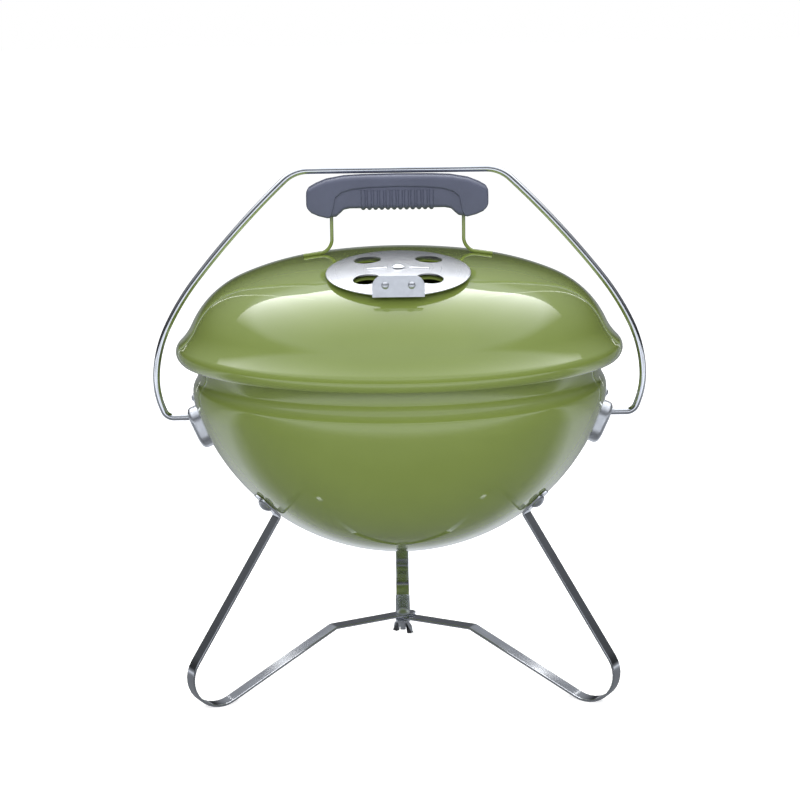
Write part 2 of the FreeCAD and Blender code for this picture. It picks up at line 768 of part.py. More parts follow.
def make_wing(side, under):
    """One ear of the wing nut: a flat blade that droops outwards from the boss."""
    body = new_body("Wing%d" % side)
    sketch = new_sketch(body, "WingOutline%d" % side, "XZ_Plane")
    top = "%.4f - rest_gap" % under
    outline(sketch, [
        ("wing_nut_radius - wing_root", "%s - wing_shoulder" % top),
        ("wing_nut_radius - wing_root", "%s - wing_nut_height + wing_shoulder / 2" % top),
        ("wing_span / 2 - wing_tip_run", "%s - wing_drop + wing_tip_rise" % top),
        ("wing_span / 2", "%s - wing_drop + 2 * wing_tip_rise" % top, "wing_tip_radius", 1),
        ("wing_span / 2 - wing_shoulder", "%s - wing_back_drop" % top, "wing_back_radius", 1),
        ("wing_nut_radius + wing_shoulder", "%s - wing_shoulder" % top, "wing_shoulder_radius", 1),
    ])
    pad(body, sketch, "wing_thickness", both_ways=True)
    body.Placement = turned(side)
    return body


# ---------------------------------------------------------------- wire bail
def make_bail():
    """One bent wire as three nodes that meet end to end: the straight top bar and its two sides."""
    bar_start = Placement(Vector(-size("bail_bar_half"), 0, size("bail_top_height")),
                          Rotation(Vector(0, 1, 0), 90))
    node(cylinder("BailBar", "bail_wire_radius", "2 * bail_bar_half", bar_start), "bail_bar")
    for name, side in (("bail_side_right", 0.0), ("bail_side_left", 180.0)):
        node(make_bail_side(name), name, turned(side))


def make_bail_side(name):
    """A shoulder, a side that closes in towards the bowl, and an end that turns inwards."""
    body = new_body(name.title().replace("_", ""))
    path = new_sketch(body, name + "_path", "XZ_Plane")
    arcs = [
        ("bail_corner_radius", -1, "bail_corner_end_height"),
        ("bail_upper_radius", -1, "bail_upper_end_height"),
        ("bail_middle_radius", -1, "bail_middle_end_height"),
        ("bail_lower_radius", -1, "bail_lower_end_height"),
        ("bail_hook_radius", -1, "bail_hook_end_height"),
    ]
    pieces, end = smooth_chain(path, ("bail_bar_half", "bail_top_height"), arcs)
    first = pieces[0]
    path.addConstraint(Sketcher.Constraint("Vertical", first[0], first[1], first[0], 3))
    finish_bail_end(path, pieces[-1], end)
    section = new_sketch(body, name + "_section", "YZ_Plane", "bail_bar_half")
    circle(section, "0", "bail_top_height", "bail_wire_radius")
    pipe(body, section, path)
    return body


def finish_bail_end(path, last, end):
    """The tight bend that brings the wire level at the pivot's height, and its straight end."""
    level = size("bail_pivot_height")
    arc = path.Geometry[last[0]]
    toward = (end - arc.Center).normalize()
    radius = (end.y - level) / (1 + toward.y)
    centre = end - toward * radius
    low = Vector(centre.x, level, 0)
    bend = add_arc(path, end, low, centre, -1)
    tail = add_line(path, low, Vector(size("bail_pivot_end"), level, 0))
    path.addConstraint(Sketcher.Constraint("Tangent", last[0], last[2], bend[0], bend[1]))
    path.addConstraint(Sketcher.Constraint("Tangent", bend[0], bend[2], tail[0], tail[1]))
    path.addConstraint(Sketcher.Constraint("Horizontal", tail[0]))
    fix_point(path, tail[0], tail[2], "bail_pivot_end", "bail_pivot_height")


def make_bail_bracket(name, azimuth):
    """A pressed oval cup on the bowl's side with a tongue above it; the wire's end turns in it."""
    body = new_body(name.title().replace("_", ""))
    half_width = "bracket_width / 2"
    straight = "(bracket_length - bracket_width) / 2"
    cup = new_sketch(body, name + "_outline", "XY_Plane", "-bracket_seat")
    outline(cup, [
        (straight, "-%s" % half_width),
        ("%s + %s" % (straight, half_width), "0", half_width, 1),
        (straight, half_width, half_width, 1),
        ("-%s" % straight, half_width),
        ("-%s - %s" % (straight, half_width), "0", half_width, 1),
        ("-%s" % straight, "-%s" % half_width, half_width, 1),
    ])
    block = pad(body, cup, "bracket_depth + bracket_seat")
    doc.recompute()
    edges = face_edges(block, size("bracket_depth"))
    rounded = body.newObject("PartDesign::Fillet", name + "_rounded")
    rounded.Base = (block, edges)
    bind(rounded, Radius="bracket_edge_radius")
    doc.recompute()
    open_face = [i for i, face in enumerate(rounded.Shape.Faces, start=1)
                 if abs(face.CenterOfMass.z + size("bracket_seat")) < 0.01]
    hollow = body.newObject("PartDesign::Thickness", name + "_hollow")
    hollow.Base = (rounded, ["Face%d" % open_face[0]])
    hollow.Reversed = True
    bind(hollow, Value="bracket_wall")
    tongue = new_sketch(body, name + "_tongue", "XY_Plane")
    reach = "bracket_length / 2 + bracket_tongue_length"
    half_tongue = "bracket_tongue_width / 2"
    outline(tongue, [
        ("bracket_length / 2 - bracket_wall", "-%s" % half_tongue),
        ("%s - %s" % (reach, half_tongue), "-%s" % half_tongue),
        (reach, "0", half_tongue, 1),
        ("%s - %s" % (reach, half_tongue), half_tongue, half_tongue, 1),
        ("bracket_length / 2 - bracket_wall", half_tongue),
    ])
    pad(body, tongue, "bracket_wall")
    place = on_bowl(size("bracket_height"), 0.0)
    hole_place = place.inverse() * Placement(Vector(size("bowl_radius"), 0, size("bail_pivot_height")),
                                             Rotation(Vector(0, 1, 0), 90))
    drill(body, name + "_pivot_hole", "bail_wire_radius + bail_pivot_clearance", "2 * bracket_depth",
          hole_place)
    rivet_spot = at(size(reach) - size(half_tongue), 0, 0)
    drill(body, name + "_rivet_hole", "tab_rivet_radius / 2", "8 * bracket_wall", rivet_spot)
    return node(body, name, turned(azimuth) * place)


def face_edges(feature, level):
    """Names of the edges that lie wholly at a height of the feature's own Z."""
    names = []
    for index, edge in enumerate(feature.Shape.Edges, start=1):
        bounds = edge.BoundBox
        if abs(bounds.ZMin - level) < 0.01 and abs(bounds.ZMax - level) < 0.01:
            names.append("Edge%d" % index)
    return names


def rivet(name, head_radius, head_height, shank_radius, length, placement):
    """A round-headed rivet whose head sits on the placement's XY plane and shank runs down."""
    head = dome(name + "_head", head_radius, head_height, placement)
    shank = cylinder(name + "_shank", shank_radius, length, placement * at(0, 0, -size(length)))
    return fuse(name, [head, shank])


def make_bail_brackets():
    rivets = []
    reach = size("bracket_length / 2 + bracket_tongue_length - bracket_tongue_width / 2")
    for name, azimuth in (("bail_bracket_right", 0.0), ("bail_bracket_left", 180.0)):
        make_bail_bracket(name, azimuth)
        place = turned(azimuth) * on_bowl(size("bracket_height"), 0.0)
        spot = place * at(reach, 0, size("bracket_wall"))
        rivets.append(rivet(name + "_rivet", "tab_rivet_radius", "tab_rivet_head", "tab_rivet_radius / 2",
                            "bracket_wall + bracket_rivet_tail", spot))
    node(group("BracketRivets", rivets), "bail_bracket_rivets")


# ---------------------------------------------------------------- lid handle
def make_handle_rods():
    """Two bent wires welded to the lid; their upper ends sit in the grip."""
    rods = []
    for side in (0.0, 180.0):
        body = new_body("Rod%d" % side)
        path = new_sketch(body, "RodPath%d" % side, "XZ_Plane")
        crown_z = "lid_apex_height - lid_crown_radius + sqrt(lid_crown_radius^2 - (%s)^2)"
        at_leg = crown_z % "handle_rod_reach" + " + handle_rod_radius"
        at_end = crown_z % "handle_foot_end" + " + handle_rod_radius"
        bent_path(path, [
            ("handle_rod_reach", "handle_rod_top"),
            ("handle_rod_reach", at_leg, "handle_rod_bend"),
            ("handle_foot_end", at_end),
        ])
        section = new_sketch(body, "RodSection%d" % side, "XY_Plane", "handle_rod_top")
        circle(section, "handle_rod_reach", "0", "handle_rod_radius")
        pipe(body, section, path)
        body.Placement = turned(side)
        rods.append(body)
    node(group("HandleRods", rods), "lid_handle_rods")


def make_grip():
    """The moulded grip: an arched bar with blunt ends that hang down over the rods."""
    body = new_body("Grip")
    sketch = new_sketch(body, "GripOutline", "XZ_Plane")
    crest, arch, end, rod = "grip_crest_height", "grip_arch_height", "grip_half_length", "handle_rod_reach"
    shoulder = ("%s - grip_shoulder_run" % end, "%s - grip_shoulder_drop" % crest)
    corner = ("%s - grip_corner_run" % end, "%s - grip_corner_drop" % crest)
    bottom = (end, "%s + grip_end_rise" % arch)
    heel = ("%s + grip_heel_run" % rod, "%s - grip_heel_drop" % arch)
    toe = ("%s - grip_toe_run" % rod, "%s - grip_toe_drop" % arch)
    span = ("%s - grip_arch_run" % rod, arch)
    outline(sketch, [
        (*shoulder, "grip_shoulder_radius", 1),
        ("-(%s)" % shoulder[0], shoulder[1], "grip_crest_radius", 1),
        ("-(%s)" % corner[0], corner[1], "grip_shoulder_radius", 1),
        ("-(%s)" % bottom[0], bottom[1]),
        ("-(%s)" % heel[0], heel[1], "grip_heel_radius", 1),
        ("-(%s)" % toe[0], toe[1]),
        ("-(%s)" % span[0], span[1], "grip_toe_radius", -1),
        span,
        (*toe, "grip_toe_radius", -1),
        heel,
        (*bottom, "grip_heel_radius", 1),
        corner,
    ])
    block = pad(body, sketch, "grip_depth", both_ways=True)
    doc.recompute()
    half = size("grip_depth") / 2
    long_edges = []
    for index, edge in enumerate(block.Shape.Edges, start=1):
        bounds = edge.BoundBox
        on_side = abs(abs(bounds.YMin) - half) < 0.01 and abs(bounds.YMax - bounds.YMin) < 0.01
        at_crest = bounds.ZMax > size("grip_crest_height - grip_shoulder_drop")
        if on_side and at_crest and edge.Length > size("grip_half_length / 2"):
            long_edges.append("Edge%d" % index)
    rounded = body.newObject("PartDesign::Fillet", "GripRounded")
    rounded.Base = (block, long_edges)
    bind(rounded, Radius="grip_edge_radius")
    for side in (-1, 1):
        spot = at(side * size("handle_rod_reach"), 0, size("handle_rod_top") - size("grip_depth") / 2)
        drill(body, "RodSocket%d" % (side + 1), "handle_rod_radius", "grip_depth", spot)
    node(body, "lid_handle_grip")


# ---------------------------------------------------------------- dampers
def make_damper(name, place, sizes, hole_angles):
    """A domed disc that turns on a rivet, with a riveted finger tab standing at its rim.

    The placement's origin is on the shell's outside, with Z outwards and -Y towards the tab.
    """
    radius, crown, gap = sizes["radius"], sizes["crown"], sizes["gap"]
    body = new_body(name.title().replace("_", ""))
    sketch = new_sketch(body, name + "_section", "XZ_Plane")
    rim = "%s - %s + sqrt(%s^2 - %s^2)" % (gap, crown, crown, radius)
    outline(sketch, [
        ("0", gap),
        (radius, rim, crown, -1),
        (radius, "%s + vent_sheet" % rim),
        ("0", "%s + vent_sheet" % gap, crown, 1),
    ])
    revolve(body, sketch)
    fold = at(0, size("tab_overlap") - size(radius), size(rim))
    fold = fold * Placement(Vector(), Rotation(Vector(1, 0, 0), -size("tab_lean")))
    lug = body.newObject("PartDesign::AdditiveBox", name + "_lug")
    bind(lug, Length=sizes["lug_width"], Width="vent_sheet",
         Height="%s - lug_shortfall" % sizes["tab_height"])
    lug.Placement = fold * at(-size(sizes["lug_width"]) / 2, 0, size("lug_rise"))
    drill(body, name + "_pivot_hole", "vent_pivot_radius + vent_pivot_clearance", "20 * vent_sheet",
          at(0, 0, size(gap)))
    for angle in hole_angles:
        spot = turned(angle) * at(size(sizes["hole_circle"]), 0, 0)
        drill(body, "%s_hole_%d" % (name, angle), sizes["hole_radius"], "40 * vent_sheet", spot)
    for side in (-0.5, 0.5):
        drill(body, "%s_lug_hole_%d" % (name, side * 2), "tab_rivet_radius / 2", "8 * vent_sheet",
              fold * tab_rivet_place(sizes, side))
    node(body, name + "_disc", place)
    make_damper_tab(name, place * fold, sizes)
    make_damper_pivot(name, place, sizes)


def tab_rivet_place(sizes, side):
    """A rivet's place on the front of the finger plate, its Z forwards."""
    spot = Vector(side * size(sizes["rivet_spacing"]), -size("vent_sheet"),
                  size(sizes["tab_height"]) * size("tab_rivet_rise"))
    return Placement(spot, Rotation(Vector(1, 0, 0), 90))


def make_damper_tab(name, place, sizes):
    """The upright finger plate on the disc's lug, and its two rivets, from the fold's place."""
    body = new_body(name.title().replace("_", "") + "Tab")
    sketch = new_sketch(body, name + "_tab_outline", "XZ_Plane")
    half, corner, top = "%s / 2" % sizes["tab_width"], sizes["tab_corner"], sizes["tab_height"]
    outline(sketch, [
        ("-%s" % half, "-tab_overlap"),
        (half, "-tab_overlap"),
        (half, "%s - %s" % (top, corner)),
        ("%s - %s" % (half, corner), top, corner, 1),
        ("-%s + %s" % (half, corner), top),
        ("-%s" % half, "%s - %s" % (top, corner), corner, 1),
    ])
    pad(body, sketch, "vent_sheet")
    rivets = []
    for side in (-0.5, 0.5):
        spot = tab_rivet_place(sizes, side)
        drill(body, "%s_plate_hole_%d" % (name, side * 2), "tab_rivet_radius / 2", "8 * vent_sheet", spot)
        rivets.append(rivet("%s_tab_rivet_%d" % (name, side * 2), "tab_rivet_radius", "tab_rivet_head",
                            "tab_rivet_radius / 2", "2 * vent_sheet + tab_rivet_tail", place * spot))
    node(body, name + "_tab", place)
    node(group(name.title().replace("_", "") + "TabRivets", rivets), name + "_tab_rivets")


def make_damper_pivot(name, place, sizes):
    """The rivet that the disc turns on, fixed in the shell, and the spacer washer under the disc."""
    top = size(sizes["gap"]) + size("vent_sheet + pivot_play")
    length = "%s + vent_sheet + pivot_play + sheet_wall + pivot_tail" % sizes["gap"]
    pin = rivet(name + "_pin", "vent_head_radius", "vent_head_height", "vent_pivot_radius", length,
                place * at(0, 0, top))
    tail_place = place * at(0, 0, -size("sheet_wall + pivot_tail + pivot_play / 2"))
    tail = cylinder(name + "_tail", "vent_head_radius - pivot_tail", "pivot_tail", tail_place)
    node(fuse(name.title().replace("_", "") + "Pivot", [pin, tail]), name + "_pivot")
    thick = "%s - 2 * pivot_play" % sizes["gap"]
    spot = place * at(0, 0, size("pivot_play / 2"))
    ring = cylinder(name + "_washer_disc", "vent_washer_radius", thick, spot)
    bore = cylinder(name + "_washer_bore", "vent_pivot_radius", thick, spot)
    node(cut(name.title().replace("_", "") + "Washer", ring, bore), name + "_washer")


def make_dampers():
    lid_sizes = {
        "radius": "lid_vent_disc_radius", "crown": "lid_vent_crown_radius", "gap": "lid_vent_gap",
        "hole_radius": "lid_vent_hole_radius", "hole_circle": "lid_vent_hole_circle",
        "lug_width": "tab_lug_width", "tab_width": "tab_width", "tab_height": "tab_height",
        "tab_corner": "tab_corner_radius", "rivet_spacing": "tab_rivet_spacing",
    }
    make_damper("lid_damper", lid_vent_place(), lid_sizes, VENT_HOLE_ANGLES)
    bowl_sizes = {
        "radius": "bowl_vent_disc_radius", "crown": "bowl_vent_crown_radius", "gap": "bowl_vent_gap",
        "hole_radius": "bowl_vent_hole_radius", "hole_circle": "bowl_vent_hole_circle",
        "lug_width": "bowl_tab_width - 6", "tab_width": "bowl_tab_width",
        "tab_height": "bowl_tab_height", "tab_corner": "bowl_tab_corner_radius",
        "rivet_spacing": "bowl_tab_width / 2",
    }
    for name, azimuth in BOWL_VENT_AZIMUTHS.items():
        place = on_bowl(size("bowl_vent_height"), azimuth) * turned(90.0)
        make_damper(name, place, bowl_sizes, [angle - 90.0 for angle in BOWL_VENT_HOLE_ANGLES])


# ---------------------------------------------------------------- grates
def make_grate(name, height, ring, ring_wire, bar_wire, spacing, cross_offset):
    """A round wire grate: a ring, parallel bars in its plane and two cross wires under them."""
    level = size(height)
    parts = [torus(name + "_ring", ring, ring_wire, at(0, 0, level))]
    reach = size(ring)
    count = int((reach - size(spacing) * 0.3) // size(spacing))
    for step in range(-count, count + 1):
        x = "%d * %s" % (step, spacing)
        length = "2 * sqrt((%s)^2 - (%s)^2)" % (ring, x)
        lying = Placement(Vector(size(x), -size(length) / 2, level + size(bar_wire) / 2),
                          Rotation(Vector(1, 0, 0), -90))
        parts.append(cylinder("%s_bar_%d" % (name, step + count), bar_wire, length, lying))
    for side in (-1, 1):
        length = "2 * sqrt((%s)^2 - %s^2)" % (ring, cross_offset)
        drop = level + size(bar_wire) / 2 - size("%s + grate_cross_wire" % bar_wire) + 0.4
        lying = Placement(Vector(-size(length) / 2, side * size(cross_offset), drop),
                          Rotation(Vector(0, 1, 0), 90))
        parts.append(cylinder("%s_cross_%d" % (name, side + 1), "grate_cross_wire", length, lying))
    node(fuse(name.title().replace("_", ""), parts), name)


def make_grates():
    make_grate("cooking_grate", "grate_height", "grate_ring_radius", "grate_ring_wire", "grate_bar_wire",
               "grate_bar_spacing", "grate_cross_offset")
    make_grate("charcoal_grate", "coal_height", "coal_ring_radius", "grate_ring_wire", "coal_bar_wire",
               "coal_bar_spacing", "coal_cross_offset")


def make_grate_ledges():
    """Bent tabs welded round the inside of the bowl, for the cooking grate to rest on."""
    top = size("grate_height - grate_ring_wire - rest_gap")
    shelf_z = top - size("ledge_thickness")
    ledges = []
    for azimuth in LEDGE_AZIMUTHS:
        shelf = box("shelf_%d" % azimuth, "ledge_outer - ledge_reach", "ledge_width", "ledge_thickness",
                    at(size("ledge_reach"), -size("ledge_width") / 2, shelf_z))
        back = box("shelf_back_%d" % azimuth, "ledge_thickness", "ledge_width", "ledge_back_height",
                   at(size("ledge_back_reach"), -size("ledge_width") / 2,
                      shelf_z - size("ledge_back_height")))
        ledge = fuse("ledge_%d" % azimuth, [shelf, back])
        ledge.Placement = turned(azimuth)
        ledges.append(ledge)
    node(group("GrateLedges", ledges), "grate_ledges")


# ---------------------------------------------------------------- build, check and write
def build():
    make_bowl()
    make_lid()
    make_legs()
    make_leg_fasteners()
    make_hub_fasteners()
    make_bail()
    make_bail_brackets()
    make_handle_rods()
    make_grip()
    make_dampers()
    make_grates()
    make_grate_ledges()
    doc.recompute()


def check():
    """Stop if any object failed or any piece is empty or broken."""
    for feature in doc.Objects:
        if "Invalid" in feature.State or "Error" in feature.State:
            raise RuntimeError("%s failed: %s" % (feature.Label, feature.State))
    for feature in NODES:
        shape = feature.Shape
        if shape.isNull() or not shape.isValid() or not shape.Solids:
            raise RuntimeError("%s has no valid solid" % feature.Label)
        print("%-24s %2d solids %9.0f mm3" % (feature.Label, len(shape.Solids), shape.Volume))


def write():
    os.makedirs("parts", exist_ok=True)
    for feature in NODES:
        feature.Shape.exportStep("parts/%s.step" % feature.Label)


build()
check()
write()
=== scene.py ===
"""Looks of the portable kettle grill, built piece by piece round its fixed frame.

Metres, +Z up, -Y the front.  Run as a script, it makes every piece, the floor, the light and
the camera; its sizes and colours are properties that the sidebar panel lists.
"""
import math
import bmesh
import bpy
from mathutils import Matrix, Vector


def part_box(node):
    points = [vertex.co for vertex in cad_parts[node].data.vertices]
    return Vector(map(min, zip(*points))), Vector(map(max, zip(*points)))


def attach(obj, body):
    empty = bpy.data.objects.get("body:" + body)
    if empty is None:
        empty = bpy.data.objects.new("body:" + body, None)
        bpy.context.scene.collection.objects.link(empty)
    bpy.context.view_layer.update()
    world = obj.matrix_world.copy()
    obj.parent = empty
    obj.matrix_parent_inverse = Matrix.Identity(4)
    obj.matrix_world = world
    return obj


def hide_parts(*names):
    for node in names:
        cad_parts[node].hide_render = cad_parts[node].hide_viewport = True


bl_info = {
    "name": "Kettle grill looks",
    "version": (1, 0, 0),
    "blender": (4, 5, 0),
    "location": "3D View > Sidebar > Kettle grill",
    "description": "Builds the visible pieces of a portable kettle charcoal grill",
    "category": "Object",
}

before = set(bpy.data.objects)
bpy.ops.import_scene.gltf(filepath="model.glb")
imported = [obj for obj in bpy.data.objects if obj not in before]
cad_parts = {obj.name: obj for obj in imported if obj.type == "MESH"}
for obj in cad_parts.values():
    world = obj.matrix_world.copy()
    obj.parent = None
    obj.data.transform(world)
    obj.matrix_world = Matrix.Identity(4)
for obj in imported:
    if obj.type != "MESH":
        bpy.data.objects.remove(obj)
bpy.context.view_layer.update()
BOWL_LOW, BOWL_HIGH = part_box("bowl")
LID_LOW, LID_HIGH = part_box("lid")
BAIL_LOW, BAIL_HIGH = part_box("bail_bar")
RODS_LOW, RODS_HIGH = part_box("lid_handle_rods")
GRIP_LOW, GRIP_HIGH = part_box("lid_handle_grip")
HUB_LOW, HUB_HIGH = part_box("hub_bolt")
LEGS = {"leg_left": 210.0, "leg_right": 330.0, "leg_back": 90.0}
BOWL_DAMPERS = {"bowl_damper_left": 150.0, "bowl_damper_right": 30.0}
REFLECTED_WALLS = ((0.0, 0.22), (0.07, 0.03), (0.20, 0.045), (0.32, 0.14), (0.56, 0.38), (0.64, 1.1), (1.0, 0.9))
# The floor's glow as glossy rays see it, set by Y: painted shade under and just in front of the grill, and painted
# light in bands before and behind it.
PAINTED_FLOOR_LIGHT_AND_SHADE = ((0.2, 1.1), (0.4, 0.5), (0.57, 1.15), (0.65, 1.1), (0.706, 0.28), (0.75, 0.13), (0.8, 0.2),
                   (0.83, 0.75), (0.9, 0.32), (1.0, 0.22))


# ---------------------------------------------------------------- properties
def length(name, description, default, low=0.0, high=1.0):
    return bpy.props.FloatProperty(
        name=name, description=description, default=default, min=low, max=high,
        precision=4, subtype="DISTANCE", unit="LENGTH")


def share(name, description, default, low=0.0, high=1.0):
    return bpy.props.FloatProperty(
        name=name, description=description, default=default, min=low, max=high, subtype="FACTOR")


def count(name, description, default, low=1, high=512):
    return bpy.props.IntProperty(name=name, description=description, default=default, min=low, max=high)


def angle(name, description, degrees):
    return bpy.props.FloatProperty(
        name=name, description=description, default=math.radians(degrees), subtype="ANGLE", unit="ROTATION")


def colour(name, description, default):
    return bpy.props.FloatVectorProperty(
        name=name, description=description, default=default, size=3, min=0.0, max=1.0, subtype="COLOR")


class KettleFinishes(bpy.types.PropertyGroup):
    """Colours and gloss of the grill's finishes."""
    enamel: colour("Enamel", "Colour of the porcelain enamel", (0.232, 0.300, 0.070))
    enamel_shade: colour("Enamel, deeper", "Slightly deeper enamel where the coat pools", (0.218, 0.284, 0.064))
    enamel_gloss: share("Enamel roughness", "Roughness of the enamel's glassy coat", 0.05)
    steel: colour("Bright steel", "Colour of the plated legs and bail", (0.74, 0.76, 0.79))
    zinc: colour("Zinc", "Colour of bolts, nuts and rivets", (0.72, 0.74, 0.77))
    aluminium: colour("Aluminium", "Colour of the damper discs", (0.76, 0.77, 0.79))
    plastic: colour("Grip plastic", "Colour of the moulded grip", (0.108, 0.119, 0.176))
    chrome: colour("Grate wire", "Colour of the plated grate wires", (0.66, 0.66, 0.66))


class KettleShell(bpy.types.PropertyGroup):
    """Sizes of the enamelled bowl and lid."""
    wall: length("Sheet", "Thickness of the enamelled sheet", 0.0012)
    segments: count("Segments", "Sides round the kettle's axis", 256, 32)
    bowl_radius: length("Bowl radius", "Radius of the bowl's round bottom", 0.183)
    bead_start: length("Bead start", "Height where the bowl's side tightens", 0.240)
    bead: length("Bead", "Height of the middle of the bead", 0.2547)
    bead_end: length("Bead end", "Height where the bead turns into the neck", 0.2634)
    neck: length("Neck", "Height where the neck turns outwards", 0.270)
    flare: length("Flare", "Height of the middle of the flare", 0.2827)
    roll: length("Rim roll", "Radius of the rolled rim", 0.0045)
    crown: length("Lid crown", "Radius of the lid's crown", 0.5347)
    haunch: length("Lid haunch", "Radius of the lid's haunch", 0.2255)
    crown_end: length("Crown end", "Height where the crown ends", 0.3650)
    haunch_end: length("Haunch end", "Height where the haunch ends", 0.3497)
    shoulder_end: length("Shoulder end", "Height where the lid's shoulder ends", 0.3107)
    skirt_start: length("Skirt start", "Height where the lid's skirt starts", 0.2955)


class KettleLegs(bpy.types.PropertyGroup):
    """Sizes of the strap legs and their fasteners."""
    width: length("Strap width", "Width of a leg's strap", 0.0127)
    thickness: length("Strap thickness", "Thickness of a leg's strap", 0.002)
    edge: length("Strap edge", "Rounding of the strap's long edges", 0.0004)
    seat: length("Bolt seat", "Gap between a strap and its bolt's head", 0.0001)
    hub: length("Hub height", "Middle of the highest strap at the hub", HUB_HIGH.z - 0.005)
    tongue: length("Hub tongue", "Reach of a strap past the hub's axis", 0.012)
    kink: length("Kink reach", "Where a strap turns down to its foot", 0.0692)
    foot_reach: length("Foot reach", "Where a foot's bend is centred", 0.179)
    foot_bend: length("Foot bend", "Radius of a foot's bend", 0.025)
    top_reach: length("Top reach", "Where a riser meets its tab", 0.1201)
    top_height: length("Top height", "Height where a riser meets its tab", 0.1557)
    tab: length("Tab", "Length of the bolted tab", 0.028)
    shank_short: length("Shank shortening", "Part of the hub bolt's thread hidden by its nut", 0.006)
    bolt_reach: length("Bolt reach", "Distance of a leg's bolt from the axis", 0.130)
    head_radius: length("Head radius", "Radius of a bolt's head", 0.0064)
    head_height: length("Head height", "Height of a bolt's head", 0.004)
    wing_span: length("Wing span", "Width over the wing nut's ears", 0.020)
    wing_drop: length("Wing drop", "How far the ears droop", 0.012)
    wing_turn: angle("Wing turn", "How the wing nut is turned", -35.0)


class KettleBail(bpy.types.PropertyGroup):
    """Sizes of the wire bail and its brackets."""
    wire: length("Bail wire", "Radius of the bail's wire", 0.003)
    bar: length("Top bar", "Half length of the bail's straight top", 0.0749)
    pivot: length("Pivot height", "Height of the bail's hinge line", 0.2286)
    pivot_end: length("Wire end", "Where the wire's end stops inside its bracket", 0.1735)
    bracket_height: length("Bracket height", "Height of a bracket's middle", 0.222)
    bracket_width: length("Bracket width", "Width of a bracket's cup", 0.026)
    bracket_length: length("Bracket length", "Length of a bracket's cup", 0.038)
    bracket_depth: length("Bracket depth", "How far a cup stands from the bowl", 0.0105)
    bracket_round: length("Bracket edge", "Rounding of the cup's outer edge", 0.004)
    tongue_width: length("Tongue width", "Width of the riveted tongue", 0.012)
    tongue_length: length("Tongue length", "Length of the riveted tongue", 0.012)


class KettleHandle(bpy.types.PropertyGroup):
    """Sizes of the lid's handle."""
    rod: length("Rod", "Radius of a handle rod", 0.0015)
    rod_reach: length("Rod reach", "Distance of an upright rod from the axis", 0.0558)
    rod_bend: length("Rod bend", "Radius where a rod turns along the lid", 0.012)
    depth: length("Grip depth", "Depth of the grip from front to back", 0.027)
    crest: length("Grip crest", "Height of the top of the grip", GRIP_HIGH.z)
    arch: length("Grip arch", "Height of the grip's underside", 0.407)
    half: length("Grip half length", "Half length of the grip", 0.0765)
    rib_pitch: length("Rib pitch", "Distance from one finger rib to the next", 0.0052)
    rib_count: count("Ribs", "Finger ribs under the grip", 12)
    rib_radius: length("Rib radius", "Radius of a finger rib", 0.0021)


class KettleDampers(bpy.types.PropertyGroup):
    """Sizes of the lid and bowl dampers."""
    sheet: length("Damper sheet", "Thickness of a damper's sheet", 0.0012)
    lid_offset: length("Lid damper offset", "Distance of the lid's damper from the axis", 0.090)
    lid_radius: length("Lid disc", "Radius of the lid's damper", 0.0585)
    lid_crown: length("Lid disc crown", "Radius of the lid damper's dome", 0.420)
    lid_gap: length("Lid disc gap", "Gap between the lid and its damper", 0.0022)
    lid_hole: length("Lid hole", "Radius of a hole in the lid's damper", 0.011)
    lid_circle: length("Lid hole circle", "Radius that the lid damper's holes lie on", 0.0354)
    tab_width: length("Tab width", "Width of the lid damper's finger tab", 0.041)
    tab_height: length("Tab height", "Height of the lid damper's finger tab", 0.0165)
    tab_corner: length("Tab corner", "Rounding of the tab's upper corners", 0.008)
    tab_lean: angle("Tab lean", "Turn of the tabs from upright towards the disc's middle", 10.0)
    rivet: length("Rivet", "Radius of a rivet's head", 0.003)
    rivet_height: length("Rivet height", "Height of a rivet's head", 0.0022)
    bowl_height: length("Bowl damper height", "Height of the bowl's dampers", 0.205)
    bowl_disc: length("Bowl disc", "Radius of a bowl damper", 0.034)
    bowl_crown: length("Bowl disc crown", "Radius of a bowl damper's dome", 0.190)
    bowl_gap: length("Bowl disc gap", "Gap between the bowl and its damper", 0.0014)
    bowl_hole: length("Bowl hole", "Radius of a hole in a bowl damper", 0.007)
    bowl_circle: length("Bowl hole circle", "Radius that a bowl damper's holes lie on", 0.020)


class KettleGrates(bpy.types.PropertyGroup):
    """Sizes of the cooking and charcoal grates."""
    ring_wire: length("Ring wire", "Radius of a grate's ring wire", 0.0025)
    cross_wire: length("Cross wire", "Radius of a grate's cross wires", 0.002)
    cooking_ring: length("Cooking ring", "Radius of the cooking grate's ring", 0.166)
    cooking_bar: length("Cooking bar", "Radius of the cooking grate's bars", 0.0016)
    cooking_pitch: length("Cooking pitch", "Distance between cooking bars", 0.016)
    cooking_cross: length("Cooking cross", "Offset of the cooking grate's cross wires", 0.078)
    coal_ring: length("Charcoal ring", "Radius of the charcoal grate's ring", 0.124)
    coal_bar: length("Charcoal bar", "Radius of the charcoal grate's bars", 0.002)
    coal_pitch: length("Charcoal pitch", "Distance between charcoal bars", 0.020)
    coal_cross: length("Charcoal cross", "Offset of the charcoal grate's cross wires", 0.048)


class KettleStage(bpy.types.PropertyGroup):
    """Where the camera stands, how it is turned and its lens."""
    distance: length("Camera distance", "How far in front of the axis the camera stands", 1.687, 0.2, 10.0)
    height: length("Camera height", "Height of the camera", 0.5642, 0.0, 5.0)
    pitch: angle("Camera pitch", "How far the camera looks down", 10.846)
    roll: angle("Camera roll", "How far the camera is tipped", -0.785)
    lens: bpy.props.FloatProperty(
        name="Lens", description="Focal length on a 36 mm sensor", default=89.865, min=10.0, max=300.0,
        subtype="DISTANCE_CAMERA", unit="CAMERA")


# ---------------------------------------------------------------- places
def turned(azimuth):
    return Matrix.Rotation(azimuth, 4, "Z")


def leaning(x, z, tilt):
    """A place in the XZ plane whose own Z leans from world Z towards +X."""
    return Matrix.Translation((x, 0.0, z)) @ Matrix.Rotation(tilt, 4, "Y")


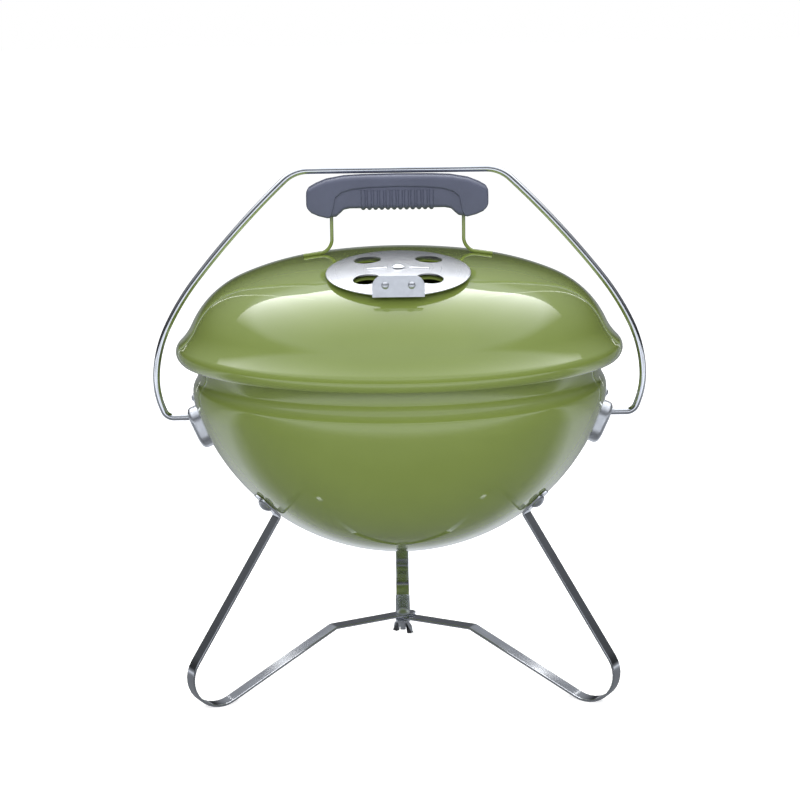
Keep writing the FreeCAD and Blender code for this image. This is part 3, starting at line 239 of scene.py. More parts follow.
def bowl_centre(shell):
    return BOWL_LOW.z + shell.bowl_radius


def on_bowl(shell, height, azimuth, lift=0.0):
    """A place on the bowl's outside, its Z outwards and its X up along the wall."""
    drop = bowl_centre(shell) - height
    slope = math.asin(drop / shell.bowl_radius)
    reach = shell.bowl_radius + lift
    place = leaning(reach * math.cos(slope), bowl_centre(shell) - reach * math.sin(slope), math.pi / 2 + slope)
    return turned(azimuth) @ place @ turned(math.pi)


def on_lid(shell, offset, azimuth, lift=0.0):
    """A place on the lid's haunch, its Z along the outward normal and its X outwards."""
    apex = LID_HIGH.z
    start = math.acos((shell.crown_end - apex + shell.crown) / shell.crown)
    centre_x = (shell.crown - shell.haunch) * math.sin(start)
    centre_z = apex - shell.crown + (shell.crown - shell.haunch) * math.cos(start)
    tilt = math.asin((offset - centre_x) / shell.haunch)
    reach = shell.haunch + lift
    return turned(azimuth) @ leaning(centre_x + reach * math.sin(tilt), centre_z + reach * math.cos(tilt), tilt)


def lid_damper_place(shell, dampers):
    return on_lid(shell, dampers.lid_offset, -math.pi / 2) @ turned(math.pi / 2)


def leg_bolt_height(shell, legs):
    return bowl_centre(shell) - math.sqrt(shell.bowl_radius ** 2 - legs.bolt_reach ** 2)


# ---------------------------------------------------------------- lines in a plane
def arc_chain(start, arcs, side, step=math.radians(2.5)):
    """Arcs that leave a point level and run on without a corner.

    An arc is (radius, turn, height of its end), where turn is 1 to the left and -1 to the right.
    Gives the points and the outward normals, outside being to the right where side is 1.
    """
    place, heading = Vector(start), 0.0
    points, normals = [place.copy()], [Vector((math.sin(heading), -math.cos(heading))) * side]
    for radius, turn, end_height in arcs:
        centre = place + Vector((-math.sin(heading), math.cos(heading))) * radius * turn
        slope = math.asin((end_height - centre.y) / radius)
        begin = math.atan2(place.y - centre.y, place.x - centre.x)
        sweeps = [((end - begin) * turn) % (2 * math.pi) for end in (slope, math.pi - slope)]
        sweep = min(s for s in sweeps if s > 1e-6)
        steps = max(3, math.ceil(sweep / step), math.ceil(sweep * radius / 0.005))
        for index in range(1, steps + 1):
            turn_angle = begin + turn * sweep * index / steps
            outward = Vector((math.cos(turn_angle), math.sin(turn_angle)))
            points.append(centre + outward * radius)
            normals.append(outward * turn * side)
        heading += sweep * turn
        place = points[-1].copy()
    return points, normals


def arc_points(centre, radius, first, last, steps):
    """Points along an arc, both ends included."""
    turns = [first + (last - first) * index / steps for index in range(steps + 1)]
    return [Vector(centre) + Vector((math.cos(t), math.sin(t))) * radius for t in turns]


def wrap_corner(before, after, centre, radius, turn):
    """Where the two tangents that wrap a circle from one point to another would cross."""
    inward, outward = centre - before, centre - after
    first = math.atan2(inward.y, inward.x) - turn * math.asin(radius / inward.length)
    second = math.atan2(outward.y, outward.x) + turn * math.asin(radius / outward.length)
    along = Vector((math.cos(first), math.sin(first)))
    back = Vector((math.cos(second), math.sin(second)))
    return before + along * ((after - before).cross(back) / along.cross(back))


def bent_line(corners, steps=10, closed=False):
    """Straight runs joined by bends.  A corner is (x, y) or (x, y, radius of its bend)."""
    points = []
    last = len(corners) - 1
    for index, corner in enumerate(corners):
        place = Vector(corner[:2])
        if len(corner) == 2 or corner[2] <= 0 or (not closed and index in (0, last)):
            points.append(place)
            continue
        back = (Vector(corners[index - 1][:2]) - place).normalized()
        onward = (Vector(corners[(index + 1) % len(corners)][:2]) - place).normalized()
        half = math.acos(max(-1.0, min(1.0, back.dot(onward)))) / 2
        if half > math.pi / 2 - 1e-3:
            points.append(place)
            continue
        centre = place + (back + onward).normalized() * (corner[2] / math.sin(half))
        begin = place + back * (corner[2] / math.tan(half)) - centre
        end = place + onward * (corner[2] / math.tan(half)) - centre
        sweep = math.atan2(begin.cross(end), begin.dot(end))
        first = math.atan2(begin.y, begin.x)
        points += arc_points(centre, corner[2], first, first + sweep, steps)
    return points


def spaced(points, reach):
    """The same line with no run longer than the reach."""
    out = [points[0]]
    for start, end in zip(points, points[1:]):
        parts = max(1, math.ceil((end - start).length / reach))
        out += [start.lerp(end, index / parts) for index in range(1, parts + 1)]
    return out


def inset(points, amount):
    """A closed counter-clockwise outline moved inwards."""
    moved = []
    total = len(points)
    for index, point in enumerate(points):
        before = (point - points[index - 1]).normalized()
        after = (points[(index + 1) % total] - point).normalized()
        left = Vector((-before.y - after.y, before.x + after.x))
        left.normalize()
        lean = max(0.35, left.dot(Vector((-after.y, after.x))))
        moved.append(point + left * (amount / lean))
    return moved


# ---------------------------------------------------------------- meshes
def mesh_from(name, points, faces):
    """A mesh with its faces turned outwards: the volume that they close is made positive."""
    mesh = bpy.data.meshes.new(name)
    mesh.from_pydata([tuple(point) for point in points], [], faces)
    work = bmesh.new()
    work.from_mesh(mesh)
    bmesh.ops.remove_doubles(work, verts=work.verts, dist=1e-7)
    if work.calc_volume(signed=True) < 0:
        bmesh.ops.reverse_faces(work, faces=work.faces)
    work.to_mesh(mesh)
    work.free()
    return mesh


def loft(name, loops, caps=True):
    """A skin over closed loops of equal length, its ends filled."""
    around = len(loops[0])
    points = [point for loop in loops for point in loop]
    faces = []
    for row in range(len(loops) - 1):
        for index in range(around):
            after = (index + 1) % around
            low, high = row * around, (row + 1) * around
            faces.append((low + index, low + after, high + after, high + index))
    if caps:
        faces.append(tuple(reversed(range(around))))
        faces.append(tuple(range((len(loops) - 1) * around, len(loops) * around)))
    return mesh_from(name, points, faces)


def lathe(name, section, segments):
    """A section of (reach, height) turned round Z.  It is a loop, or starts and ends on the axis."""
    rows = []
    points = []
    for reach, height in section:
        if reach < 1e-7:
            rows.append([len(points)])
            points.append((0.0, 0.0, height))
            continue
        rows.append(list(range(len(points), len(points) + segments)))
        for index in range(segments):
            turn = 2 * math.pi * index / segments
            points.append((reach * math.cos(turn), reach * math.sin(turn), height))
    pairs = list(zip(rows, rows[1:]))
    if len(rows[0]) > 1:
        pairs.append((rows[-1], rows[0]))
    faces = []
    for low, high in pairs:
        for index in range(segments):
            after = (index + 1) % segments
            ring = [low[index % len(low)], low[after % len(low)], high[after % len(high)], high[index % len(high)]]
            ring = list(dict.fromkeys(ring))
            if len(ring) > 2:
                faces.append(tuple(ring))
    return mesh_from(name, points, faces)


def plate(name, outline, depth, rounding, steps=3, back_rounding=None):
    """An outline in (x, z) given a depth along Y, centred on Y 0, its edges rounded."""
    back = rounding if back_rounding is None else back_rounding
    loops = []
    for index in range(steps + 1):
        turn = math.pi / 2 * index / steps
        loops.append((-depth / 2 + rounding * (1 - math.sin(turn)), rounding * (1 - math.cos(turn))))
    loops = loops[::-1]
    for index in range(steps + 1):
        turn = math.pi / 2 * index / steps
        loops.append((depth / 2 - back * (1 - math.sin(turn)), back * (1 - math.cos(turn))))
    rows = []
    for across, amount in loops:
        rows.append([(point.x, across, point.y) for point in inset(outline, amount)])
    return loft(name, rows)


def joined(name, meshes):
    """Several meshes as one."""
    work = bmesh.new()
    for mesh in meshes:
        work.from_mesh(mesh)
        bpy.data.meshes.remove(mesh)
    mesh = bpy.data.meshes.new(name)
    work.to_mesh(mesh)
    work.free()
    return mesh


def placed(mesh, place):
    """The mesh moved to its place, which may be a mirrored one."""
    mesh.transform(place)
    if place.to_3x3().determinant() < 0:
        mesh.flip_normals()
    return mesh


def pierced(mesh, cutters):
    """The mesh with the cutters' space taken away."""
    solid = bpy.data.objects.new("to_pierce", mesh)
    tool = bpy.data.objects.new("cutters", joined("cutters", cutters))
    for thing in (solid, tool):
        bpy.context.scene.collection.objects.link(thing)
    modifier = solid.modifiers.new("Holes", "BOOLEAN")
    modifier.operation = "DIFFERENCE"
    modifier.solver = "EXACT"
    modifier.object = tool
    graph = bpy.context.evaluated_depsgraph_get()
    result = bpy.data.meshes.new_from_object(solid.evaluated_get(graph))
    for thing in (solid, tool):
        data = thing.data
        bpy.data.objects.remove(thing)
        bpy.data.meshes.remove(data)
    return result


def rod_cutter(radius, reach, place, segments=48):
    """A round cutter along the place's Z, centred on it."""
    section = [(0.0, -reach / 2), (radius, -reach / 2), (radius, reach / 2), (0.0, reach / 2)]
    return placed(lathe("cutter", section, segments), place)


def head_section(radius, height, edge=0.25):
    """The section of a low round head with a short upright edge, its flat side at height 0."""
    lip = height * edge
    dome = height - lip
    curve = (radius ** 2 + dome ** 2) / (2 * dome)
    opening = math.asin(radius / curve)
    section = [(0.0, 0.0), (radius * 0.97, 0.0), (radius, lip * 0.3)]
    for index in range(9):
        turn = opening * (1 - index / 8)
        section.append((curve * math.sin(turn), lip + dome - curve * (1 - math.cos(turn))))
    section[-1] = (0.0, height)
    return section


def finish_piece(name, mesh, material, body, stands_for=(), crease=35.0):
    """Make the mesh a piece at the origin that rides on its body."""
    mesh.name = name
    mesh.materials.clear()
    mesh.materials.append(material)
    for face in mesh.polygons:
        face.use_smooth = True
        face.material_index = 0
    mesh.set_sharp_from_angle(angle=math.radians(crease))
    piece = bpy.data.objects.new(name, mesh)
    bpy.context.scene.collection.objects.link(piece)
    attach(piece, body)
    if stands_for:
        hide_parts(*stands_for)
    return piece


# ---------------------------------------------------------------- geometry node trees
def new_tree(name, inputs):
    """A tree with a geometry input and the named ones, each (name, socket kind, default)."""
    tree = bpy.data.node_groups.new(name, "GeometryNodeTree")
    tree.interface.new_socket("Geometry", in_out="INPUT", socket_type="NodeSocketGeometry")
    for label, kind, default in inputs:
        socket = tree.interface.new_socket(label, in_out="INPUT", socket_type=kind)
        if default is not None:
            socket.default_value = default
    tree.interface.new_socket("Geometry", in_out="OUTPUT", socket_type="NodeSocketGeometry")
    return tree, tree.nodes.new("NodeGroupInput"), tree.nodes.new("NodeGroupOutput")


def add_node(tree, kind, sockets, **settings):
    """A node with its sockets, by name or number, linked to other sockets or set to values."""
    made = tree.nodes.new(kind)
    for key, value in settings.items():
        setattr(made, key, value)
    for key, value in sockets.items():
        socket = made.inputs[key]
        if isinstance(value, bpy.types.NodeSocket):
            tree.links.new(value, socket)
        else:
            socket.default_value = value
    return made


def end_tree(tree, geometry, exit_node, entry):
    """Realize the instances, set the finish and hand the geometry out."""
    real = add_node(tree, "GeometryNodeRealizeInstances", {"Geometry": geometry})
    finish = add_node(tree, "GeometryNodeSetMaterial",
                      {"Geometry": real.outputs[0], "Material": entry.outputs["Finish"]})
    tree.links.new(finish.outputs[0], exit_node.inputs[0])
    return tree


def grown(mesh, tree, values):
    """What a tree makes of the mesh, as a plain mesh."""
    seed = bpy.data.objects.new("seed", mesh)
    bpy.context.scene.collection.objects.link(seed)
    modifier = seed.modifiers.new("Grown", "NODES")
    modifier.node_group = tree
    for item in tree.interface.items_tree:
        if item.in_out == "INPUT" and item.name in values:
            modifier[item.identifier] = values[item.name]
    graph = bpy.context.evaluated_depsgraph_get()
    result = bpy.data.meshes.new_from_object(seed.evaluated_get(graph))
    seed.modifiers.remove(modifier)
    bpy.data.objects.remove(seed)
    bpy.data.meshes.remove(mesh)
    if not result.polygons:
        raise RuntimeError("%s made nothing" % tree.name)
    work = bmesh.new()
    work.from_mesh(result)
    if work.calc_volume(signed=True) < 0:
        bmesh.ops.reverse_faces(work, faces=work.faces)
    work.to_mesh(result)
    work.free()
    return result


def wire_tree():
    """A round wire along every line of the input, with closed ends."""
    tree, entry, exit_node = new_tree("Bent wire", [
        ("Wire radius", "NodeSocketFloat", 0.002),
        ("Sides", "NodeSocketInt", 20),
        ("Finish", "NodeSocketMaterial", None),
    ])
    line = add_node(tree, "GeometryNodeMeshToCurve", {"Mesh": entry.outputs["Geometry"]})
    ring = add_node(tree, "GeometryNodeCurvePrimitiveCircle",
                    {"Resolution": entry.outputs["Sides"], "Radius": entry.outputs["Wire radius"]})
    skin = add_node(tree, "GeometryNodeCurveToMesh",
                    {"Curve": line.outputs[0], "Profile Curve": ring.outputs[0], "Fill Caps": True})
    return end_tree(tree, skin.outputs[0], exit_node, entry)


def grate_tree():
    """A ring of wire, parallel bars across it, each as long as the ring allows, and two cross wires."""
    tree, entry, exit_node = new_tree("Wire grate", [
        ("Ring radius", "NodeSocketFloat", 0.166),
        ("Ring wire", "NodeSocketFloat", 0.0025),
        ("Bar wire", "NodeSocketFloat", 0.0016),
        ("Bar pitch", "NodeSocketFloat", 0.016),
        ("Bar count", "NodeSocketInt", 21),
        ("Cross wire", "NodeSocketFloat", 0.002),
        ("Cross offset", "NodeSocketFloat", 0.078),
        ("Height", "NodeSocketFloat", 0.25),
        ("Finish", "NodeSocketMaterial", None),
    ])
    given = entry.outputs

    def maths(operation, first, second=0.0):
        made = add_node(tree, "ShaderNodeMath", {0: first, 1: second}, operation=operation)
        return made.outputs[0]

    def vector(x=0.0, y=0.0, z=0.0):
        return add_node(tree, "ShaderNodeCombineXYZ", {"X": x, "Y": y, "Z": z}).outputs[0]

    def tube(curve, radius, sides, caps):
        ring = add_node(tree, "GeometryNodeCurvePrimitiveCircle", {"Resolution": sides, "Radius": radius})
        return add_node(tree, "GeometryNodeCurveToMesh",
                        {"Curve": curve, "Profile Curve": ring.outputs[0], "Fill Caps": caps}).outputs[0]

    circle = add_node(tree, "GeometryNodeCurvePrimitiveCircle", {"Resolution": 128, "Radius": given["Ring radius"]})
    hoop = add_node(tree, "GeometryNodeSetPosition",
                    {"Geometry": circle.outputs[0], "Offset": vector(z=given["Height"])})
    hoop_skin = tube(hoop.outputs[0], given["Ring wire"], 16, False)

    half_row = maths("MULTIPLY", maths("SUBTRACT", given["Bar count"], 1.0), 0.5)
    first_x = maths("MULTIPLY", maths("MULTIPLY", half_row, given["Bar pitch"]), -1.0)
    bar_z = maths("ADD", given["Height"], maths("MULTIPLY", given["Bar wire"], 0.5))
    row = add_node(tree, "GeometryNodeMeshLine",
                   {"Count": given["Bar count"], "Start Location": vector(first_x, 0.0, bar_z),
                    "Offset": vector(given["Bar pitch"])}, mode="OFFSET")
    place = add_node(tree, "GeometryNodeInputPosition", {})
    apart = add_node(tree, "ShaderNodeSeparateXYZ", {0: place.outputs[0]})
    square = maths("SUBTRACT", maths("MULTIPLY", given["Ring radius"], given["Ring radius"]),
                   maths("MULTIPLY", apart.outputs[0], apart.outputs[0]))
    reach = maths("SQRT", square)
    stick = add_node(tree, "GeometryNodeCurvePrimitiveLine", {"Start": (0.0, -1.0, 0.0), "End": (0.0, 1.0, 0.0)})
    bar = tube(stick.outputs[0], given["Bar wire"], 14, True)
    bars = add_node(tree, "GeometryNodeInstanceOnPoints",
                    {"Points": row.outputs[0], "Instance": bar, "Scale": vector(1.0, reach, 1.0)})

    cross_square = maths("SUBTRACT", maths("MULTIPLY", given["Ring radius"], given["Ring radius"]),
                         maths("MULTIPLY", given["Cross offset"], given["Cross offset"]))
    cross_reach = maths("SQRT", cross_square)
    under = maths("SUBTRACT", bar_z, maths("ADD", given["Bar wire"], given["Cross wire"]))
    cross_row = add_node(tree, "GeometryNodeMeshLine",
                         {"Count": 2, "Start Location": vector(0.0, maths("MULTIPLY", given["Cross offset"], -1.0),
                                                               maths("ADD", under, 0.0004)),
                          "Offset": vector(0.0, maths("MULTIPLY", given["Cross offset"], 2.0), 0.0)},
                         mode="OFFSET")
    cross_stick = add_node(tree, "GeometryNodeCurvePrimitiveLine",
                           {"Start": (-1.0, 0.0, 0.0), "End": (1.0, 0.0, 0.0)})
    cross_bar = tube(cross_stick.outputs[0], given["Cross wire"], 14, True)
    crosses = add_node(tree, "GeometryNodeInstanceOnPoints",
                       {"Points": cross_row.outputs[0], "Instance": cross_bar,
                        "Scale": vector(cross_reach, 1.0, 1.0)})
    whole = add_node(tree, "GeometryNodeJoinGeometry", {})
    for part in (hoop_skin, bars.outputs[0], crosses.outputs[0]):
        tree.links.new(part, whole.inputs[0])
    return end_tree(tree, whole.outputs[0], exit_node, entry)


def heads_tree():
    """One fastener head on each point of the input, turned to the point's facing."""
    tree, entry, exit_node = new_tree("Heads on points", [
        ("Head", "NodeSocketObject", None),
        ("Finish", "NodeSocketMaterial", None),
    ])
    facing = add_node(tree, "GeometryNodeInputNamedAttribute", {"Name": "facing"}, data_type="FLOAT_VECTOR")
    turn = add_node(tree, "FunctionNodeAlignRotationToVector", {"Vector": facing.outputs[0]}, axis="Z")
    head = add_node(tree, "GeometryNodeObjectInfo", {"Object": entry.outputs["Head"], "As Instance": True})
    points = add_node(tree, "GeometryNodeInstanceOnPoints",
                      {"Points": entry.outputs["Geometry"], "Instance": head.outputs["Geometry"],
                       "Rotation": turn.outputs[0]})
    return end_tree(tree, points.outputs[0], exit_node, entry)


def ribs_tree():
    """Like ribs in a row along X, each a round bar bent along the input's line."""
    tree, entry, exit_node = new_tree("Finger ribs", [
        ("Count", "NodeSocketInt", 12),
        ("Pitch", "NodeSocketFloat", 0.0052),
        ("Rib radius", "NodeSocketFloat", 0.002),
        ("Finish", "NodeSocketMaterial", None),
    ])
    given = entry.outputs
    line = add_node(tree, "GeometryNodeMeshToCurve", {"Mesh": given["Geometry"]})
    ring = add_node(tree, "GeometryNodeCurvePrimitiveCircle", {"Resolution": 16, "Radius": given["Rib radius"]})
    rib = add_node(tree, "GeometryNodeCurveToMesh",
                   {"Curve": line.outputs[0], "Profile Curve": ring.outputs[0], "Fill Caps": True})
    less = add_node(tree, "ShaderNodeMath", {0: given["Count"], 1: 1.0}, operation="SUBTRACT")
    span = add_node(tree, "ShaderNodeMath", {0: less.outputs[0], 1: given["Pitch"]}, operation="MULTIPLY")
    start = add_node(tree, "ShaderNodeMath", {0: span.outputs[0], 1: -0.5}, operation="MULTIPLY")
    first = add_node(tree, "ShaderNodeCombineXYZ", {"X": start.outputs[0]})
    step = add_node(tree, "ShaderNodeCombineXYZ", {"X": given["Pitch"]})
    row = add_node(tree, "GeometryNodeMeshLine",
                   {"Count": given["Count"], "Start Location": first.outputs[0], "Offset": step.outputs[0]},
                   mode="OFFSET")
    ribs = add_node(tree, "GeometryNodeInstanceOnPoints", {"Points": row.outputs[0], "Instance": rib.outputs[0]})
    return end_tree(tree, ribs.outputs[0], exit_node, entry)


def line_mesh(lines):
    """A mesh of open lines of 3D points."""
    mesh = bpy.data.meshes.new("lines")
    points, edges = [], []
    for line in lines:
        base = len(points)
        points += [tuple(point) for point in line]
        edges += [(base + index, base + index + 1) for index in range(len(line) - 1)]
    mesh.from_pydata(points, edges, [])
    return mesh


def heads(places, section, material, segments=32, slot_width=0.0):
    """Heads of one section at several places, the places' Z being their facing."""
    head = lathe("head", section, segments)
    if slot_width:
        radius = max(reach for reach, height in section)
        height = max(height for reach, height in section)
        groove = plate("groove", bent_line([(-radius * 2, height * 0.5), (radius * 2, height * 0.5),
                                            (radius * 2, height * 2), (-radius * 2, height * 2)]),
                       slot_width, 0.0, 1)
        head = pierced(head, [groove])
    model = bpy.data.objects.new("head_model", head)
    bpy.context.scene.collection.objects.link(model)
    points = bpy.data.meshes.new("points")
    points.from_pydata([tuple(place.to_translation()) for place in places], [], [])
    facing = points.attributes.new("facing", "FLOAT_VECTOR", "POINT")
    for index, place in enumerate(places):
        facing.data[index].vector = place.to_3x3() @ Vector((0.0, 0.0, 1.0))
    result = grown(points, heads_tree(), {"Head": model, "Finish": material})
    bpy.data.objects.remove(model)
    bpy.data.meshes.remove(head)
    return result


# ---------------------------------------------------------------- finishes
def new_finish(name, base, metallic, roughness):
    """A material with a Principled shader whose even values are set on its own sockets."""
    material = bpy.data.materials.new(name)
    material.use_nodes = True
    shader = material.node_tree.nodes["Principled BSDF"]
    shader.inputs["Base Color"].default_value = (*base, 1.0)
    shader.inputs["Metallic"].default_value = metallic
    shader.inputs["Roughness"].default_value = roughness
    material.diffuse_color = (*base, 1.0)
    return material, material.node_tree, shader


def coordinates(tree, scale=(1.0, 1.0, 1.0), place=None, output="Object"):
    """The piece's own coordinates, stretched, or brought back from its place and turn."""
    source = tree.nodes.new("ShaderNodeTexCoord")
    mapping = tree.nodes.new("ShaderNodeMapping")
    tree.links.new(source.outputs[output], mapping.inputs["Vector"])
    if place is None:
        mapping.inputs["Scale"].default_value = scale
        return mapping.outputs[0]
    mapping.vector_type = "TEXTURE"
    mapping.inputs["Location"].default_value = place.to_translation()
    mapping.inputs["Rotation"].default_value = place.to_euler("XYZ")
    return mapping.outputs[0]


def noise(tree, vector, scale, detail=2.0, roughness=0.5):
    texture = tree.nodes.new("ShaderNodeTexNoise")
    texture.inputs["Scale"].default_value = scale
    texture.inputs["Detail"].default_value = detail
    texture.inputs["Roughness"].default_value = roughness
    tree.links.new(vector, texture.inputs["Vector"])
    return texture.outputs["Fac"]


def ranged(tree, value, low, high, from_low=0.3, from_high=0.7):
    """A value brought from one range to another."""
    node = tree.nodes.new("ShaderNodeMapRange")
    node.inputs["From Min"].default_value = from_low
    node.inputs["From Max"].default_value = from_high
    node.inputs["To Min"].default_value = low
    node.inputs["To Max"].default_value = high
    tree.links.new(value, node.inputs["Value"])
    return node.outputs["Result"]


def blended(tree, factor, first, second):
    """Two colours mixed by a factor."""
    node = tree.nodes.new("ShaderNodeMix")
    node.data_type = "RGBA"
    node.inputs["A"].default_value = (*first, 1.0)
    node.inputs["B"].default_value = (*second, 1.0)
    tree.links.new(factor, node.inputs["Factor"])
    return node.outputs["Result"]


def bumped(tree, shader, height, strength, distance):
    bump = tree.nodes.new("ShaderNodeBump")
    bump.inputs["Strength"].default_value = strength
    bump.inputs["Distance"].default_value = distance
    tree.links.new(height, bump.inputs["Height"])
    tree.links.new(bump.outputs[0], shader.inputs["Normal"])


def by_ray(tree, kind, others, chosen):
    """One shader for rays of a kind and another for the rest."""
    mix = tree.nodes.new("ShaderNodeMixShader")
    for index, socket in enumerate((kind, others, chosen)):
        tree.links.new(socket, mix.inputs[index])
    return mix.outputs[0]


def toned(tree, value, stops):
    """A cool grey that follows a value through (position, tone) stops."""
    ramp = tree.nodes.new("ShaderNodeValToRGB")
    tree.links.new(value, ramp.inputs["Fac"])
    while len(ramp.color_ramp.elements) < len(stops):
        ramp.color_ramp.elements.new(1.0)
    for stop, (position, tone) in zip(ramp.color_ramp.elements, stops):
        stop.position = position
        stop.color = (tone * 0.94, tone * 0.98, tone * 1.06, 1.0)
    return ramp.outputs[0]


def darker(colour_value, amount):
    return tuple(channel * amount for channel in colour_value)


def enamel_finish(look):
    """Porcelain enamel: an even green with faint pooling, a glassy coat and a trace of orange peel."""
    material, tree, shader = new_finish("green enamel", look.enamel, 0.0, look.enamel_gloss)
    own = coordinates(tree)
    pooling = ranged(tree, noise(tree, own, 14.0, 3.0), 0.0, 1.0)
    tree.links.new(blended(tree, pooling, look.enamel, look.enamel_shade), shader.inputs["Base Color"])
    tree.links.new(ranged(tree, noise(tree, own, 420.0, 2.0), 0.04, 0.075), shader.inputs["Roughness"])
    shader.inputs["IOR"].default_value = 1.52
    shader.inputs["Coat Weight"].default_value = 0.6
    shader.inputs["Coat Roughness"].default_value = 0.015
    shader.inputs["Coat IOR"].default_value = 1.5
    bumped(tree, shader, noise(tree, own, 150.0, 1.0), 0.05, 0.0002)
    return material


def strap_finish(look):
    """Bright plated strap: fine lines along its length, from the piece's own UV map."""
    material, tree, shader = new_finish("bright strap steel", look.steel, 1.0, 0.2)
    lines = noise(tree, coordinates(tree, (25.0, 2600.0, 1.0), output="UV"), 1.0, 3.0, 0.6)
    patches = noise(tree, coordinates(tree), 60.0, 3.0)
    tree.links.new(ranged(tree, lines, 0.07, 0.13), shader.inputs["Roughness"])
    tree.links.new(blended(tree, ranged(tree, patches, 0.0, 1.0), look.steel, darker(look.steel, 0.88)),
                   shader.inputs["Base Color"])
    bumped(tree, shader, lines, 0.02, 0.00001)
    return material


def wire_finish(look):
    """Bright plated wire, faintly drawn and dulled in patches."""
    material, tree, shader = new_finish("bright wire steel", look.steel, 1.0, 0.2)
    own = coordinates(tree)
    fine = noise(tree, own, 500.0, 2.0, 0.5)
    tree.links.new(ranged(tree, fine, 0.09, 0.14), shader.inputs["Roughness"])
    patches = ranged(tree, noise(tree, own, 45.0, 3.0), 0.0, 1.0)
    tree.links.new(blended(tree, patches, look.steel, darker(look.steel, 0.86)), shader.inputs["Base Color"])
    bumped(tree, shader, fine, 0.03, 0.00002)
    return material


def zinc_finish(look):
    """Zinc-plated hardware with a slightly mottled, duller surface."""
    material, tree, shader = new_finish("zinc hardware", look.zinc, 1.0, 0.28)
    own = coordinates(tree)
    spots = noise(tree, own, 300.0, 3.0, 0.5)
    tree.links.new(ranged(tree, spots, 0.32, 0.40), shader.inputs["Roughness"])
    tree.links.new(blended(tree, ranged(tree, spots, 0.0, 1.0), look.zinc, darker(look.zinc, 0.94)),
                   shader.inputs["Base Color"])
    bumped(tree, shader, noise(tree, own, 1400.0, 2.0), 0.02, 0.00002)
    return material


def spun_finish(look, name, place):
    """Satin aluminium with faint turned rings round the place's Z."""
    material, tree, shader = new_finish(name, look.aluminium, 1.0, 0.34)
    local = coordinates(tree, place=place)
    apart = tree.nodes.new("ShaderNodeSeparateXYZ")
    tree.links.new(local, apart.inputs[0])
    flat = tree.nodes.new("ShaderNodeCombineXYZ")
    tree.links.new(apart.outputs[0], flat.inputs[0])
    tree.links.new(apart.outputs[1], flat.inputs[1])
    reach = tree.nodes.new("ShaderNodeVectorMath")
    reach.operation = "LENGTH"
    tree.links.new(flat.outputs[0], reach.inputs[0])
    rings = tree.nodes.new("ShaderNodeTexNoise")
    rings.noise_dimensions = "1D"
    rings.inputs["Scale"].default_value = 2600.0
    rings.inputs["Detail"].default_value = 3.0
    tree.links.new(reach.outputs["Value"], rings.inputs["W"])
    cloud = noise(tree, local, 70.0, 3.0)
    tree.links.new(ranged(tree, rings.outputs["Fac"], 0.27, 0.42), shader.inputs["Roughness"])
    tree.links.new(blended(tree, ranged(tree, cloud, 0.0, 1.0), look.aluminium, darker(look.aluminium, 0.9)),
                   shader.inputs["Base Color"])
    bumped(tree, shader, rings.outputs["Fac"], 0.1, 0.00006)
    return material


def plastic_finish(look):
    """Glass-filled moulded plastic with a fine spark texture."""
    material, tree, shader = new_finish("grip plastic", look.plastic, 0.0, 0.42)
    own = coordinates(tree)
    grain = noise(tree, own, 1500.0, 2.0)
    cloud = ranged(tree, noise(tree, own, 40.0, 3.0), 0.0, 1.0)
    tree.links.new(blended(tree, cloud, look.plastic, darker(look.plastic, 0.88)), shader.inputs["Base Color"])
    tree.links.new(ranged(tree, grain, 0.34, 0.5), shader.inputs["Roughness"])
    bumped(tree, shader, grain, 0.16, 0.0001)
    return material


def grate_finish(look):
    """Chrome-plated cooking wire."""
    material, tree, shader = new_finish("grate wire", look.chrome, 1.0, 0.22)
    own = coordinates(tree)
    haze = noise(tree, own, 240.0, 3.0)
    tree.links.new(ranged(tree, haze, 0.16, 0.34), shader.inputs["Roughness"])
    tree.links.new(blended(tree, ranged(tree, haze, 0.0, 1.0), look.chrome, darker(look.chrome, 0.8)),
                   shader.inputs["Base Color"])
    bumped(tree, shader, noise(tree, own, 1100.0, 2.0), 0.06, 0.00006)
    return material


def finish_named(name, maker, *facts):
    """The finish of that name, made once."""
    return bpy.data.materials.get(name) or maker(*facts)


def enamel(context):
    return finish_named("green enamel", enamel_finish, context.scene.kettle_finishes)


def wire_steel(context):
    return finish_named("bright wire steel", wire_finish, context.scene.kettle_finishes)


def zinc(context):
    return finish_named("zinc hardware", zinc_finish, context.scene.kettle_finishes)


# ---------------------------------------------------------------- shapes of this kettle
def bowl_chain(shell):
    """The bowl's outside from its bottom pole to the rim."""
    arcs = [
        (shell.bowl_radius, 1, shell.bead_start),
        (0.048, 1, shell.bead),
        (0.016, 1, shell.bead_end),
        (0.0122, -1, shell.neck),
        (0.042, -1, shell.flare),
        (0.042, 1, BOWL_HIGH.z - shell.roll),
    ]
    return arc_chain((0.0, BOWL_LOW.z), arcs, 1)


def bowl_section(shell):
    """The sheet's whole section, with the rolled rim."""
    points, normals = bowl_chain(shell)
    inner = [point - normal * shell.wall for point, normal in zip(points, normals)]
    centre = Vector((points[-1].x + shell.roll - shell.wall, points[-1].y))
    over = arc_points(centre, shell.roll - shell.wall, math.pi, -math.pi / 3, 18)[1:]
    back = arc_points(centre, shell.roll, -math.pi / 3, math.pi, 22)
    return points + over + back + inner[::-1][1:]


def bowl_wall_at(shell, height):
    """Reach of the bowl's outside at a height, and how far its normal drops below level."""
    points, normals = bowl_chain(shell)
    for index in range(len(points) - 1):
        low, high = points[index], points[index + 1]
        if low.y <= height <= high.y and high.y > low.y:
            part = (height - low.y) / (high.y - low.y)
            normal = normals[index].lerp(normals[index + 1], part)
            return low.x + (high.x - low.x) * part, math.atan2(-normal.y, normal.x)
    raise RuntimeError("the bowl has no wall at %.4f" % height)


